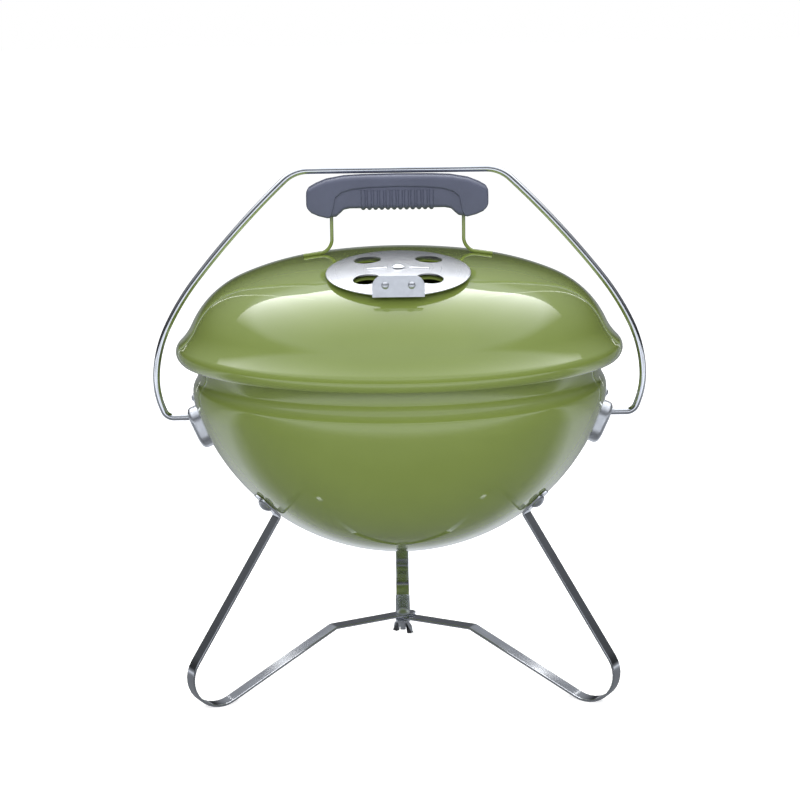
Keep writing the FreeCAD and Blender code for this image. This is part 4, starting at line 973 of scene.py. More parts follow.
def lid_section(shell):
    """The lid sheet's whole section, with a rounded lower edge."""
    arcs = [
        (shell.crown, -1, shell.crown_end),
        (shell.haunch, -1, shell.haunch_end),
        (0.0783, -1, shell.shoulder_end),
        (0.050, 1, shell.skirt_start),
        (0.0091, -1, LID_LOW.z + shell.wall * 0.4),
    ]
    points, normals = arc_chain((0.0, LID_HIGH.z), arcs, -1)
    inner = [point - normal * shell.wall for point, normal in zip(points, normals)]
    middle = (points[-1] + inner[-1]) / 2
    first = math.atan2(points[-1].y - middle.y, points[-1].x - middle.x)
    lip = arc_points(middle, (points[-1] - middle).length, first, first - math.pi, 8)[1:-1]
    return points + lip + inner[::-1]


def crown_height(shell, reach):
    return LID_HIGH.z - shell.crown + math.sqrt(shell.crown ** 2 - reach ** 2)


def leg_line(legs, level):
    """The middle line of one strap in its own XZ plane, from its tongue to the end of its tab."""
    hub = legs.hub - level * legs.thickness
    kink, top = Vector((legs.kink, hub)), Vector((legs.top_reach, legs.top_height))
    foot = Vector((legs.foot_reach, legs.foot_bend + legs.thickness / 2))
    corner = wrap_corner(kink, top, foot, legs.foot_bend, 1)
    lean = math.asin(legs.bolt_reach / 0.183)
    end = top + Vector((math.cos(lean), math.sin(lean))) * legs.tab
    return bent_line([
        (-legs.tongue, hub),
        (kink.x, hub, 0.004),
        (corner.x, corner.y, legs.foot_bend),
        (top.x, top.y, 0.003),
        (end.x, end.y),
    ], 14)


def strap(name, line, width, thickness, edge):
    """A strap along a line in the XZ plane, its ends rounded, with a UV map in metres."""
    line = spaced(line, 0.005)
    half = width / 2
    nose = [half * (1 - math.cos(math.pi / 2 * index / 9)) for index in range(1, 10)]
    first, last = line[0], line[-1]
    ahead, behind = (line[1] - first).normalized(), (line[-2] - last).normalized()
    line = ([first + ahead * step for step in [0.0] + nose]
            + [point for point in line if (point - first).length > half * 1.05 and (point - last).length > half * 1.05]
            + [last + behind * step for step in nose[::-1] + [0.0]])
    travelled = [0.0]
    for start, end in zip(line, line[1:]):
        travelled.append(travelled[-1] + (end - start).length)
    total = travelled[-1]
    corner = [(edge * math.cos(turn), edge * math.sin(turn)) for turn in (0, math.pi / 6, math.pi / 3, math.pi / 2)]
    points, around = [], 0
    for index, place in enumerate(line):
        before = line[max(index - 1, 0)]
        after = line[min(index + 1, len(line) - 1)]
        along = (after - before).normalized()
        up = Vector((-along.y, along.x))
        reach = min(travelled[index], total - travelled[index], half)
        wide = max(math.sqrt(max(half ** 2 - (half - reach) ** 2, 0.0)), 0.0006)
        ring = [(wide - edge + a, thickness / 2 - edge + b) for a, b in corner]
        ring += [(-wide + edge - b, thickness / 2 - edge + a) for a, b in corner]
        ring += [(-wide + edge - a, -thickness / 2 + edge - b) for a, b in corner]
        ring += [(wide - edge + b, -thickness / 2 + edge - a) for a, b in corner]
        around = len(ring)
        for across, height in ring:
            spot = place + up * height
            points.append((spot.x, across, spot.y))
    faces, spots = [], []
    lengths = [0.0]
    for index in range(around):
        here, there = ring[index], ring[(index + 1) % around]
        lengths.append(lengths[-1] + math.dist(here, there))
    for row in range(len(line) - 1):
        for index in range(around):
            after = (index + 1) % around
            low, high = row * around, (row + 1) * around
            faces.append((low + index, high + index, high + after, low + after))
            u0, u1 = travelled[row], travelled[row + 1]
            spots += [(u0, lengths[index]), (u1, lengths[index]), (u1, lengths[index + 1]), (u0, lengths[index + 1])]
    faces.append(tuple(range(around)))
    faces.append(tuple(reversed(range((len(line) - 1) * around, len(line) * around))))
    spots += [(0.0, 0.0)] * around + [(total, 0.0)] * around
    mesh = bpy.data.meshes.new(name)
    mesh.from_pydata(points, [], faces)
    layer = mesh.uv_layers.new(name="UVMap")
    for index, spot in enumerate(spots):
        layer.data[index].uv = spot
    work = bmesh.new()
    work.from_mesh(mesh)
    if work.calc_volume(signed=True) < 0:
        bmesh.ops.reverse_faces(work, faces=work.faces)
    work.to_mesh(mesh)
    work.free()
    return mesh


def capsule(straight, half_width, steps=20):
    """An oval of two half circles, long way along X."""
    right = arc_points((straight, 0.0), half_width, -math.pi / 2, math.pi / 2, steps)
    left = arc_points((-straight, 0.0), half_width, math.pi / 2, math.pi * 1.5, steps)
    return right + left


def damper_mesh(dampers, radius, crown, gap, hole, circle, hole_turns):
    """A domed disc with a rounded rim and vent holes, in its own place."""
    sheet = dampers.sheet

    def drop(reach):
        return crown - math.sqrt(crown ** 2 - reach ** 2)

    steps = [radius * index / 24 for index in range(24)] + [radius - sheet * 0.5]
    below = [(reach, gap - drop(reach)) for reach in steps]
    rim = arc_points((radius - sheet * 0.5, gap + sheet * 0.5 - drop(radius)), sheet * 0.5,
                     -math.pi / 2, math.pi / 2, 8)[1:-1]
    above = [(reach, gap + sheet - drop(reach)) for reach in steps[::-1]]
    disc = lathe("disc", below + [tuple(point) for point in rim] + above, 160)
    cutters = []
    for turn in hole_turns:
        spot = turned(turn) @ Matrix.Translation((circle, 0.0, gap))
        cutters.append(rod_cutter(hole, 0.03, spot, 64))
    return pierced(disc, cutters)


def raised_bar(dampers, middle, half_length, half_width, height):
    """A plain raised oval pressed into the lid damper's dome."""
    crown, top = dampers.lid_crown, dampers.lid_gap + dampers.sheet
    loops = []
    for part, rise in ((1.0, -0.0003), (1.0, 0.0), (0.94, height * 0.5), (0.84, height * 0.87), (0.7, height)):
        loop = []
        for point in capsule(half_length - half_width, half_width * part):
            x = point.x + middle
            loop.append((x, point.y, top + rise - crown + math.sqrt(crown ** 2 - x ** 2 - point.y ** 2)))
        loops.append(loop)
    return loft("raised_bar", loops)


def tab_parts(dampers, radius, crown, gap, width, height, corner, lug_width):
    """The finger plate and the lug behind it on their fold, with the place of the rivets' line."""
    sheet = dampers.sheet
    rim = gap - crown + math.sqrt(crown ** 2 - radius ** 2)
    fold = Matrix.Translation((0.0, 0.0004 - radius, rim)) @ Matrix.Rotation(-dampers.tab_lean, 4, "X")
    outline = bent_line([
        (-width / 2, -0.0004, 0.0006),
        (width / 2, -0.0004, 0.0006),
        (width / 2, height, corner),
        (-width / 2, height, corner),
    ], 10, True)
    front = placed(plate("tab", outline, sheet, 0.00035, 3), fold @ Matrix.Translation((0.0, -sheet / 2, 0.0)))
    lug_outline = bent_line([
        (-lug_width / 2, 0.0002, 0.0004),
        (lug_width / 2, 0.0002, 0.0004),
        (lug_width / 2, height - 0.003, 0.003),
        (-lug_width / 2, height - 0.003, 0.003),
    ], 6, True)
    lug = placed(plate("lug", lug_outline, sheet, 0.0002, 2), fold @ Matrix.Translation((0.0, sheet / 2, 0.0)))
    return front, lug, fold @ Matrix.Translation((0.0, -sheet, height * 0.55))


def height_along(line, reach):
    """Height of a line of (reach, height) points at a reach, eased between the points."""
    for (x0, z0), (x1, z1) in zip(line, line[1:]):
        if reach <= x1:
            return z0 + (z1 - z0) * (reach - x0) / (x1 - x0)
    return line[-1][1]


def grip_skin(name, top, bottom, half, depth, top_round, bottom_round, end_round):
    """A bar along X, level from side to side, between two lines, with rounded edges and ends."""
    marks = sorted({x for x, z in top + bottom if x < half - end_round} | {half - end_round})
    reaches = [point.x for point in spaced([Vector((x, 0.0)) for x in marks], 0.0025)]
    reaches += [half - end_round + end_round * math.sin(math.pi / 2 * index / 5) for index in range(1, 6)]
    loops = []
    for reach in [-x for x in reaches[::-1]] + reaches[1:]:
        past = max(0.0, abs(reach) - half + end_round) / end_round
        shrink = end_round * (1 - math.sqrt(max(0.0, 1 - past ** 2)))
        high = height_along(top, abs(reach)) - shrink
        low = height_along(bottom, abs(reach)) + shrink
        loops.append(rounded_section(reach, depth / 2 - shrink, low, high, top_round, bottom_round))
    return loft(name, loops)


def rounded_section(x, half, low, high, top_round, bottom_round, steps=6):
    """A closed upright section at one X, its four corners rounded."""
    quarter = math.pi / 2
    corners = [((half - bottom_round, low + bottom_round), bottom_round, -quarter),
               ((half - top_round, high - top_round), top_round, 0.0),
               ((top_round - half, high - top_round), top_round, quarter),
               ((bottom_round - half, low + bottom_round), bottom_round, 2 * quarter)]
    loop = []
    for centre, radius, first in corners:
        loop += [(x, point.x, point.y) for point in arc_points(centre, radius, first, first + quarter, steps)]
    return loop


# ---------------------------------------------------------------- operators
class KETTLE_OT_bowl(bpy.types.Operator):
    """Turn the enamelled bowl with its bead, neck and rolled rim, and cut its vents"""
    bl_idname = "kettle.bowl"
    bl_label = "Bowl"

    def execute(self, context):
        shell, dampers = context.scene.kettle_shell, context.scene.kettle_dampers
        mesh = lathe("bowl_shell", bowl_section(shell), shell.segments)
        cutters = []
        for azimuth in BOWL_DAMPERS.values():
            place = on_bowl(shell, dampers.bowl_height, math.radians(azimuth))
            for turn in (30, 150, 270):
                spot = place @ turned(math.radians(turn)) @ Matrix.Translation((dampers.bowl_circle, 0.0, 0.0))
                cutters.append(rod_cutter(dampers.bowl_hole, 0.02, spot))
        finish_piece("bowl_shell", pierced(mesh, cutters), enamel(context), "kettle", ("bowl",), 50)
        return {"FINISHED"}


class KETTLE_OT_lid(bpy.types.Operator):
    """Turn the enamelled lid and cut its four vents"""
    bl_idname = "kettle.lid"
    bl_label = "Lid"

    def execute(self, context):
        shell, dampers = context.scene.kettle_shell, context.scene.kettle_dampers
        mesh = lathe("lid_shell", lid_section(shell), shell.segments)
        place = lid_damper_place(shell, dampers)
        cutters = []
        for turn in (45, 135, 225, 315):
            spot = place @ turned(math.radians(turn)) @ Matrix.Translation((dampers.lid_circle, 0.0, 0.0))
            cutters.append(rod_cutter(dampers.lid_hole, 0.03, spot, 64))
        finish_piece("lid_shell", pierced(mesh, cutters), enamel(context), "lid", ("lid",), 50)
        return {"FINISHED"}


class KETTLE_OT_legs(bpy.types.Operator):
    """Bend the three strap legs"""
    bl_idname = "kettle.legs"
    bl_label = "Legs"

    def execute(self, context):
        legs = context.scene.kettle_legs
        finish = finish_named("bright strap steel", strap_finish, context.scene.kettle_finishes)
        for level, (name, azimuth) in enumerate(LEGS.items()):
            mesh = strap(name, leg_line(legs, level), legs.width, legs.thickness, legs.edge)
            placed(mesh, turned(math.radians(azimuth)))
            finish_piece("%s_strap" % name, mesh, finish, "kettle", (name,), 14)
        return {"FINISHED"}


class KETTLE_OT_fasteners(bpy.types.Operator):
    """Set the domed bolt heads on the legs' tabs and the slotted one at the hub"""
    bl_idname = "kettle.fasteners"
    bl_label = "Bolts"

    def execute(self, context):
        shell, legs = context.scene.kettle_shell, context.scene.kettle_legs
        section = head_section(legs.head_radius, legs.head_height)
        height = leg_bolt_height(shell, legs)
        places = [on_bowl(shell, height, math.radians(azimuth), legs.thickness + legs.seat)
                  for azimuth in LEGS.values()]
        mesh = heads(places, section, zinc(context))
        shanks = [rod_cutter(0.0025, 0.0142, place @ Matrix.Translation((0.0, 0.0, -0.0069)), 24)
                  for place in places]
        finish_piece("leg_bolt_heads", joined("bolts", [mesh] + shanks), zinc(context), "kettle",
                     ("leg_bolts",))
        top = Matrix.Translation((0.0, 0.0, legs.hub + legs.thickness / 2)) @ turned(math.radians(25))
        head = heads([top], section, zinc(context), 40, 0.0013)
        high, low = top.to_translation().z, HUB_LOW.z + legs.shank_short
        shank = rod_cutter(0.0025, high - low, Matrix.Translation((0.0, 0.0, (high + low) / 2)), 24)
        finish_piece("hub_bolt_head", joined("hub", [head, shank]), zinc(context), "kettle",
                     ("hub_bolt",))
        return {"FINISHED"}


class KETTLE_OT_wing_nut(bpy.types.Operator):
    """Shape the wing nut under the hub"""
    bl_idname = "kettle.wing_nut"
    bl_label = "Wing nut"

    def execute(self, context):
        legs = context.scene.kettle_legs
        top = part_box("wing_nut")[1].z
        section = [(0.0026, top - 0.006), (0.0034, top - 0.006), (0.0038, top - 0.0055), (0.0044, top - 0.0008),
                   (0.0042, top), (0.0030, top), (0.0026, top - 0.0004)]
        boss = lathe("boss", section, 40)
        outline = bent_line([
            (0.0031, top - 0.0008, 0.0004),
            (0.0031, top - 0.0052, 0.0004),
            (0.0062, top - legs.wing_drop + 0.0008, 0.0022),
            (legs.wing_span / 2 + 0.0002, top - legs.wing_drop + 0.0014, 0.0024),
            (legs.wing_span / 2 - 0.0012, top - 0.004, 0.005),
            (0.0056, top - 0.0010, 0.002),
        ], 8, True)
        ears = [placed(plate("ear", outline, 0.0026, 0.0009, 4), turned(side)) for side in (0.0, math.pi)]
        mesh = placed(joined("wing", [boss] + ears), turned(legs.wing_turn))
        finish_piece("wing_nut_body", mesh, zinc(context), "wing_nut", ("wing_nut",), 40)
        return {"FINISHED"}


class KETTLE_OT_bail(bpy.types.Operator):
    """Bend the bail from one wire"""
    bl_idname = "kettle.bail"
    bl_label = "Bail"

    def execute(self, context):
        bail = context.scene.kettle_bail
        top = BAIL_HIGH.z - bail.wire
        arcs = [(0.030, -1, 0.4306), (0.772, -1, 0.3473), (0.220, -1, 0.3064), (0.108, -1, 0.2648),
                (0.069, -1, 0.234)]
        points, normals = arc_chain((bail.bar, top), arcs, -1, math.radians(4))
        end, toward = points[-1], normals[-1].normalized()
        radius = (end.y - bail.pivot) / (1 + toward.y)
        centre = end - toward * radius
        bend = arc_points(centre, radius, math.atan2(toward.y, toward.x), -math.pi / 2, 16)[1:]
        right = points + bend + [Vector((bail.pivot_end, bail.pivot))]
        line = [Vector((-point.x, point.y)) for point in right[::-1]] + right
        seed = line_mesh([[(point.x, 0.0, point.y) for point in spaced(line, 0.006)]])
        mesh = grown(seed, wire_tree(), {"Wire radius": bail.wire, "Sides": 24, "Finish": wire_steel(context)})
        finish_piece("bail_wire", mesh, wire_steel(context), "bail",
                     ("bail_bar", "bail_side_right", "bail_side_left"), 60)
        return {"FINISHED"}


class KETTLE_OT_brackets(bpy.types.Operator):
    """Press the two oval bail brackets with their riveted tongues"""
    bl_idname = "kettle.brackets"
    bl_label = "Bail brackets"

    def execute(self, context):
        shell, bail = context.scene.kettle_shell, context.scene.kettle_bail
        rivets = []
        for name, azimuth in (("bail_bracket_right", 0.0), ("bail_bracket_left", math.pi)):
            cup = placed(self.cup(bail), on_bowl(shell, bail.bracket_height, 0.0))
            hole = Matrix.Translation((0.192, 0.0, bail.pivot)) @ Matrix.Rotation(math.pi / 2, 4, "Y")
            cup = pierced(cup, [rod_cutter(bail.wire + 0.0004, 0.026, hole)])
            mesh = placed(joined(name, [cup, self.tongue(shell, bail)]), turned(azimuth))
            finish_piece("%s_cup" % name, mesh, zinc(context), "kettle", (name,), 40)
            height = bail.bracket_height + 0.0235
            reach, drop = bowl_wall_at(shell, height)
            rivets.append(turned(azimuth) @ leaning(reach + 0.0016 * math.cos(drop), height - 0.0016 * math.sin(drop),
                                                    math.pi / 2 + drop))
        mesh = heads(rivets, head_section(0.003, 0.0020), zinc(context), 28)
        finish_piece("bail_bracket_rivet_heads", mesh, zinc(context), "kettle", ("bail_bracket_rivets",))
        return {"FINISHED"}

    def cup(self, bail):
        half = bail.bracket_width / 2
        straight = (bail.bracket_length - bail.bracket_width) / 2
        top, edge, wall, crown = bail.bracket_depth - 0.0005, bail.bracket_round, 0.0015, 0.0005
        rows = [(0.0002, top + crown - wall), (half * 0.35, top + crown * 0.8 - wall)]
        for index in range(6):
            turn = math.pi / 2 * (1 - index / 5)
            rows.append((half - edge + (edge - wall) * math.cos(turn), top - edge + (edge - wall) * math.sin(turn)))
        rows += [(half - wall, -0.0004), (half, -0.0004)]
        for index in range(9):
            turn = math.pi / 2 * index / 8
            rows.append((half - edge + edge * math.cos(turn), top - edge + edge * math.sin(turn)))
        for part in (0.75, 0.5, 0.25):
            rows.append(((half - edge) * part, top + crown * (1 - part ** 2)))
        rows.append((0.0002, top + crown))
        return loft("cup", [[(p.x, p.y, height) for p in capsule(straight, wide)] for wide, height in rows])

    def tongue(self, shell, bail):
        """The flat tongue above the cup, bent to lie on the bowl's wall."""
        start = bail.bracket_length / 2 - 0.003
        end = bail.bracket_length / 2 + bail.tongue_length - 0.001
        half = bail.tongue_width / 2
        outline = spaced(bent_line([(start, -half, 0.0003), (end, -half, half * 0.98), (end, half, half * 0.98),
                                    (start, half, 0.0003)], 10, True), 0.002)
        mesh = plate("tongue", outline, 0.0015, 0.0003, 2)
        slope = math.asin((bowl_centre(shell) - bail.bracket_height) / shell.bowl_radius)
        for vertex in mesh.vertices:
            along, lift, across = vertex.co
            height = bail.bracket_height + along * math.cos(slope)
            reach = bowl_wall_at(shell, height)[0] + lift + 0.00085
            vertex.co = (math.sqrt(reach ** 2 - across ** 2), across, height)
        work = bmesh.new()
        work.from_mesh(mesh)
        if work.calc_volume(signed=True) < 0:
            bmesh.ops.reverse_faces(work, faces=work.faces)
        work.to_mesh(mesh)
        work.free()
        return mesh


class KETTLE_OT_handle(bpy.types.Operator):
    """Bend the handle's two enamelled rods"""
    bl_idname = "kettle.handle"
    bl_label = "Handle rods"

    def execute(self, context):
        shell, handle = context.scene.kettle_shell, context.scene.kettle_handle
        foot_end = RODS_HIGH.x - 0.0001
        top = RODS_HIGH.z
        line = bent_line([
            (handle.rod_reach, top),
            (handle.rod_reach, crown_height(shell, handle.rod_reach) + handle.rod, handle.rod_bend),
            (foot_end, crown_height(shell, foot_end) + handle.rod),
        ], 16)
        line = spaced(line, 0.006)
        lines = [[(side * point.x, 0.0, point.y) for point in line] for side in (1, -1)]
        mesh = grown(line_mesh(lines), wire_tree(),
                     {"Wire radius": handle.rod, "Sides": 20, "Finish": enamel(context)})
        finish_piece("handle_rods", mesh, enamel(context), "lid", ("lid_handle_rods",), 60)
        return {"FINISHED"}


class KETTLE_OT_grip(bpy.types.Operator):
    """Mould the grip: a smooth arched shell, a set-back core under it and the core's finger ribs"""
    bl_idname = "kettle.grip"
    bl_label = "Grip"

    def execute(self, context):
        handle = context.scene.kettle_handle
        plastic = finish_named("grip plastic", plastic_finish, context.scene.kettle_finishes)
        crest, arch, half, rod = handle.crest, handle.arch, handle.half, handle.rod_reach
        top = [(0.0, crest), (0.030, crest - 0.0003), (0.045, crest - 0.0010), (0.060, crest - 0.0036),
               (0.069, crest - 0.0072), (half - 0.0012, crest - 0.0108), (half, crest - 0.0120)]
        hem = [(0.0, crest - 0.0100), (0.024, crest - 0.0106), (0.039, crest - 0.0122), (0.047, crest - 0.0148),
               (rod - 0.0038, crest - 0.0190), (rod - 0.0012, arch - 0.0030), (rod + 0.0006, arch - 0.0074),
               (rod + 0.0030, arch - 0.0078), (0.066, arch - 0.0060), (0.072, arch - 0.0034), (half, arch + 0.0010)]
        under = [(0.0, arch), (0.040, arch), (0.045, arch - 0.0010), (0.0482, arch - 0.0040),
                 (0.0515, arch - 0.0068), (rod, arch - 0.0072), (rod + 0.005, arch - 0.0066)]
        shell = grip_skin("grip_shell", top, hem, half, handle.depth, 0.0045, 0.0020, 0.0024)
        inner_top = [(x, z - 0.004) for x, z in top]
        core = grip_skin("grip_core", inner_top, under, rod + 0.004, handle.depth - 0.0036, 0.002, 0.0034, 0.0010)
        finish_piece("grip_body", joined("grip", [shell, core]), plastic, "lid",
                     ("lid_handle_grip",), 50)
        face = handle.depth / 2 - handle.rib_radius - 0.0004
        rib_top, rib_foot = crest - 0.0125, arch + handle.rib_radius - 0.0017
        rib_line = bent_line([(-face, rib_top), (-face, rib_foot, 0.004), (face, rib_foot, 0.004), (face, rib_top)], 10)
        seed = line_mesh([[(0.0, point.x, point.y) for point in spaced(rib_line, 0.004)]])
        ribs = grown(seed, ribs_tree(), {
            "Count": handle.rib_count, "Pitch": handle.rib_pitch, "Rib radius": handle.rib_radius,
            "Finish": plastic})
        finish_piece("grip_ribs", ribs, plastic, "lid", (), 50)
        return {"FINISHED"}


class KETTLE_OT_dampers(bpy.types.Operator):
    """Make the lid's damper and the two on the bowl, with tabs, rivets and pivots"""
    bl_idname = "kettle.dampers"
    bl_label = "Dampers"

    def execute(self, context):
        shell, dampers = context.scene.kettle_shell, context.scene.kettle_dampers
        quarter = [math.radians(turn) for turn in (45, 135, 225, 315)]
        sizes = (dampers.lid_radius, dampers.lid_crown, dampers.lid_gap)
        disc = damper_mesh(dampers, *sizes, dampers.lid_hole, dampers.lid_circle, quarter)
        bars = [raised_bar(dampers, side * 0.017, 0.0085, 0.0032, 0.0007) for side in (-1, 1)]
        self.finish(context, "lid_damper", "lid_damper", "lid", lid_damper_place(shell, dampers),
                    joined("pressed", [disc] + bars),
                    sizes, (dampers.tab_width, dampers.tab_height, dampers.tab_corner, 0.030), 0.0103)
        for name, azimuth in BOWL_DAMPERS.items():
            place = on_bowl(shell, dampers.bowl_height, math.radians(azimuth)) @ turned(math.pi / 2)
            sizes = (dampers.bowl_disc, dampers.bowl_crown, dampers.bowl_gap)
            turns = [math.radians(turn) for turn in (-60, 60, 180)]
            disc = damper_mesh(dampers, *sizes, dampers.bowl_hole, dampers.bowl_circle, turns)
            self.finish(context, name, name, "kettle", place, disc, sizes, (0.022, 0.012, 0.005, 0.016), 0.0055)
        return {"FINISHED"}

    def finish(self, context, name, body, base, place, disc, sizes, tab, rivet_half):
        dampers, look = context.scene.kettle_dampers, context.scene.kettle_finishes
        finish = spun_finish(look, "spun aluminium, %s" % name.replace("_", " "), place)
        front, lug, line = tab_parts(dampers, *sizes, *tab)
        finish_piece("%s_plate" % name, placed(joined("disc", [disc, lug]), place), finish, body,
                     ("%s_disc" % name,), 30)
        finish_piece("%s_finger_tab" % name, placed(front, place), zinc(context), body,
                     ("%s_tab" % name,), 14)
        spots = [place @ line @ Matrix.Translation((side * rivet_half, 0.0, 0.0))
                 @ Matrix.Rotation(math.pi / 2, 4, "X") for side in (-1, 1)]
        section = head_section(dampers.rivet, dampers.rivet_height)
        finish_piece("%s_tab_rivet_heads" % name, heads(spots, section, zinc(context), 28), zinc(context), body,
                     ("%s_tab_rivets" % name,))
        play = 0.0003
        top = place @ Matrix.Translation((0.0, 0.0, sizes[2] + dampers.sheet + play))
        head = heads([top], head_section(0.005, 0.0024), zinc(context), 32)
        finish_piece("%s_pivot_head" % name, head, zinc(context), base, ("%s_pivot" % name,))


class KETTLE_OT_grates(bpy.types.Operator):
    """Lay the cooking and charcoal grates"""
    bl_idname = "kettle.grates"
    bl_label = "Grates"

    def execute(self, context):
        grates = context.scene.kettle_grates
        finish = finish_named("grate wire", grate_finish, context.scene.kettle_finishes)
        tree = grate_tree()
        rows = [
            ("cooking_grate", grates.cooking_ring, grates.cooking_bar, grates.cooking_pitch, grates.cooking_cross),
            ("charcoal_grate", grates.coal_ring, grates.coal_bar, grates.coal_pitch, grates.coal_cross),
        ]
        for name, ring, bar, pitch, cross in rows:
            low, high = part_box(name)
            level = high.z - max(grates.ring_wire, bar * 1.5)
            bars = 2 * int((ring - pitch * 0.3) // pitch) + 1
            seed = bpy.data.meshes.new("seed")
            mesh = grown(seed, tree, {
                "Ring radius": ring, "Ring wire": grates.ring_wire, "Bar wire": bar, "Bar pitch": pitch,
                "Bar count": bars, "Cross wire": grates.cross_wire, "Cross offset": cross, "Height": level,
                "Finish": finish})
            finish_piece("%s_wires" % name, mesh, finish, name, (name,), 50)
        return {"FINISHED"}


class KETTLE_OT_carried(bpy.types.Operator):
    """Give the small pieces that keep their own shape their finishes"""
    bl_idname = "kettle.carried"
    bl_label = "Washers, nuts and ledges"

    def execute(self, context):
        grate = finish_named("grate wire", grate_finish, context.scene.kettle_finishes)
        for name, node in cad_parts.items():
            if node.hide_render:
                continue
            finish = grate if name == "grate_ledges" else zinc(context)
            for slot in node.material_slots:
                slot.material = finish
            if not node.material_slots:
                raise RuntimeError("%s has no material slot" % name)
        return {"FINISHED"}


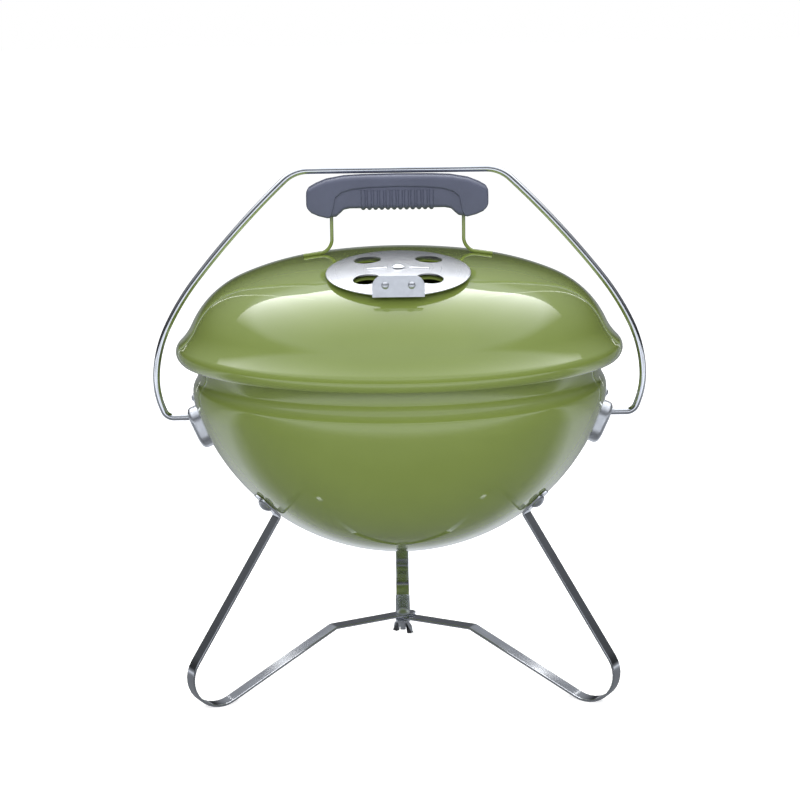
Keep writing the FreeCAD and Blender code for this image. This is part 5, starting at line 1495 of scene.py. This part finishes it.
class KETTLE_OT_stage(bpy.types.Operator):
    """Lay the pale floor, hang the soft lights and set the camera"""
    bl_idname = "kettle.stage"
    bl_label = "Stage"

    def execute(self, context):
        stage = context.scene.kettle_stage
        self.floor(context)
        self.surroundings(context)
        self.light(context, "Overhead softbox", (0.0, 0.06, 1.36), (0.0, 0.06, 0.0), 3.4, 1.7, 78.0, True)
        front = self.light(context, "Front fill", (0.0, -1.9, 1.1), (0.0, 0.0, 0.25), 1.6, 1.2, 23.0)
        front.visible_glossy = False
        for name, side in (("Left strip", -1), ("Right strip", 1)):
            self.light(context, name, (side * 0.80, 1.25, 0.97), (0.0, 0.0, 0.30), 0.012, 1.9, 0.2)
        lens = bpy.data.cameras.new("Camera")
        lens.lens = stage.lens
        lens.sensor_width = 36.0
        lens.clip_end = 100.0
        camera = bpy.data.objects.new("Camera", lens)
        context.scene.collection.objects.link(camera)
        camera.matrix_world = (Matrix.Translation((0.0, -stage.distance, stage.height))
                               @ Matrix.Rotation(math.pi / 2 - stage.pitch, 4, "X")
                               @ Matrix.Rotation(stage.roll, 4, "Z"))
        context.scene.camera = camera
        context.scene.view_settings.view_transform = "Standard"
        return {"FINISHED"}

    def floor(self, context):
        mesh = bpy.data.meshes.new("floor")
        side = 40.0
        mesh.from_pydata([(-side, -side, 0.0), (side, -side, 0.0), (side, side, 0.0), (-side, side, 0.0)],
                         [], [(0, 1, 2, 3)])
        material = bpy.data.materials.new("floor")
        material.use_nodes = True
        tree = material.node_tree
        seen = tree.nodes["Principled BSDF"]
        seen.inputs["Base Color"].default_value = (0.86, 0.86, 0.86, 1.0)
        seen.inputs["Roughness"].default_value = 0.9
        seen.inputs["Specular IOR Level"].default_value = 0.1
        seen.inputs["Emission Color"].default_value = (1.0, 1.0, 1.0, 1.0)
        seen.inputs["Emission Strength"].default_value = 0.68
        bounced = tree.nodes.new("ShaderNodeBsdfDiffuse")
        bounced.inputs["Color"].default_value = (0.60, 0.61, 0.62, 1.0)
        # For glossy rays the floor glows with painted light and a painted shadow of the grill, set by Y. Camera rays
        # see an even white floor and other rays an even grey one.
        painted_floor_light_and_shade = tree.nodes.new("ShaderNodeEmission")
        painted_floor_light_and_shade.inputs["Strength"].default_value = 1.2
        apart = tree.nodes.new("ShaderNodeSeparateXYZ")
        tree.links.new(coordinates(tree), apart.inputs[0])
        tone = toned(tree, ranged(tree, apart.outputs["Y"], 0.0, 1.0, -4.0, 1.0), PAINTED_FLOOR_LIGHT_AND_SHADE)
        tree.links.new(tone, painted_floor_light_and_shade.inputs["Color"])
        rays = tree.nodes.new("ShaderNodeLightPath")
        dim = by_ray(tree, rays.outputs["Is Glossy Ray"], bounced.outputs[0], painted_floor_light_and_shade.outputs[0])
        both = by_ray(tree, rays.outputs["Is Camera Ray"], dim, seen.outputs[0])
        tree.links.new(both, tree.nodes["Material Output"].inputs["Surface"])
        mesh.materials.append(material)
        floor = bpy.data.objects.new("floor", mesh)
        context.scene.collection.objects.link(floor)

    def surroundings(self, context):
        """White to the eye, a dimmer even fill, and in reflections darker near the horizon than above."""
        world = bpy.data.worlds.new("Studio")
        world.use_nodes = True
        context.scene.world = world
        tree = world.node_tree
        fill = tree.nodes["Background"]
        fill.inputs["Color"].default_value = (0.97, 0.985, 1.0, 1.0)
        fill.inputs["Strength"].default_value = 0.44
        white = tree.nodes.new("ShaderNodeBackground")
        white.inputs["Color"].default_value = (1.0, 1.0, 1.0, 1.0)
        white.inputs["Strength"].default_value = 1.0
        source = tree.nodes.new("ShaderNodeTexCoord")
        apart = tree.nodes.new("ShaderNodeSeparateXYZ")
        tree.links.new(source.outputs["Generated"], apart.inputs[0])
        mirror = tree.nodes.new("ShaderNodeBackground")
        tree.links.new(toned(tree, apart.outputs["Z"], REFLECTED_WALLS), mirror.inputs["Color"])
        rays = tree.nodes.new("ShaderNodeLightPath")
        dim = by_ray(tree, rays.outputs["Is Glossy Ray"], fill.outputs[0], mirror.outputs[0])
        both = by_ray(tree, rays.outputs["Is Camera Ray"], dim, white.outputs[0])
        tree.links.new(both, tree.nodes["World Output"].inputs["Surface"])

    def light(self, context, name, place, target, width, height, power, fading=False):
        """A flat light facing its target; a fading one dims towards its front edge and its ends."""
        data = bpy.data.lights.new(name, "AREA")
        data.shape = "RECTANGLE"
        data.size, data.size_y, data.energy = width, height, power
        if fading:
            data.use_nodes = True
            tree = data.node_tree
            spot = tree.nodes.new("ShaderNodeNewGeometry")
            apart = tree.nodes.new("ShaderNodeSeparateXYZ")
            tree.links.new(spot.outputs["Parametric"], apart.inputs[0])
            power_curve = tree.nodes.new("ShaderNodeMath")
            power_curve.operation = "POWER"
            power_curve.inputs[1].default_value = 1.6
            tree.links.new(apart.outputs["Y"], power_curve.inputs[0])
            middle = tree.nodes.new("ShaderNodeMath")
            middle.operation = "PINGPONG"
            middle.inputs[1].default_value = 0.5
            tree.links.new(apart.outputs["X"], middle.inputs[0])
            both = tree.nodes.new("ShaderNodeMath")
            both.operation = "MULTIPLY"
            tree.links.new(power_curve.outputs[0], both.inputs[0])
            tree.links.new(ranged(tree, middle.outputs[0], 0.0, 1.0, 0.02, 0.3), both.inputs[1])
            tree.links.new(both.outputs[0], tree.nodes["Emission"].inputs["Strength"])
        light = bpy.data.objects.new(name, data)
        light.visible_camera = False
        context.scene.collection.objects.link(light)
        toward = (Vector(target) - Vector(place)).to_track_quat("-Z", "Y")
        light.matrix_world = Matrix.Translation(place) @ toward.to_matrix().to_4x4()
        return light


# ---------------------------------------------------------------- panel
GROUPS = {
    "kettle_finishes": KettleFinishes,
    "kettle_shell": KettleShell,
    "kettle_legs": KettleLegs,
    "kettle_bail": KettleBail,
    "kettle_handle": KettleHandle,
    "kettle_dampers": KettleDampers,
    "kettle_grates": KettleGrates,
    "kettle_stage": KettleStage,
}
OPERATORS = (
    KETTLE_OT_bowl, KETTLE_OT_lid, KETTLE_OT_legs, KETTLE_OT_fasteners, KETTLE_OT_wing_nut, KETTLE_OT_bail,
    KETTLE_OT_brackets, KETTLE_OT_handle, KETTLE_OT_grip, KETTLE_OT_dampers, KETTLE_OT_grates,
    KETTLE_OT_carried, KETTLE_OT_stage,
)


class KETTLE_PT_pieces(bpy.types.Panel):
    """Sizes, colours and pieces of the kettle grill"""
    bl_idname = "KETTLE_PT_pieces"
    bl_label = "Kettle grill"
    bl_space_type = "VIEW_3D"
    bl_region_type = "UI"
    bl_category = "Kettle grill"

    def draw(self, context):
        for operator in OPERATORS:
            self.layout.operator(operator.bl_idname)
        for name, group in GROUPS.items():
            box = self.layout.box()
            box.label(text=group.__doc__)
            for word in group.__annotations__:
                box.prop(getattr(context.scene, name), word)


def register():
    for group in (*GROUPS.values(), *OPERATORS, KETTLE_PT_pieces):
        bpy.utils.register_class(group)
    for name, group in GROUPS.items():
        setattr(bpy.types.Scene, name, bpy.props.PointerProperty(type=group))


def unregister():
    for name in GROUPS:
        delattr(bpy.types.Scene, name)
    for group in reversed((*GROUPS.values(), *OPERATORS, KETTLE_PT_pieces)):
        bpy.utils.unregister_class(group)


def main():
    register()
    for operator in OPERATORS:
        family, word = operator.bl_idname.split(".")
        getattr(getattr(bpy.ops, family), word)()


if __name__ == "__main__":
    main()
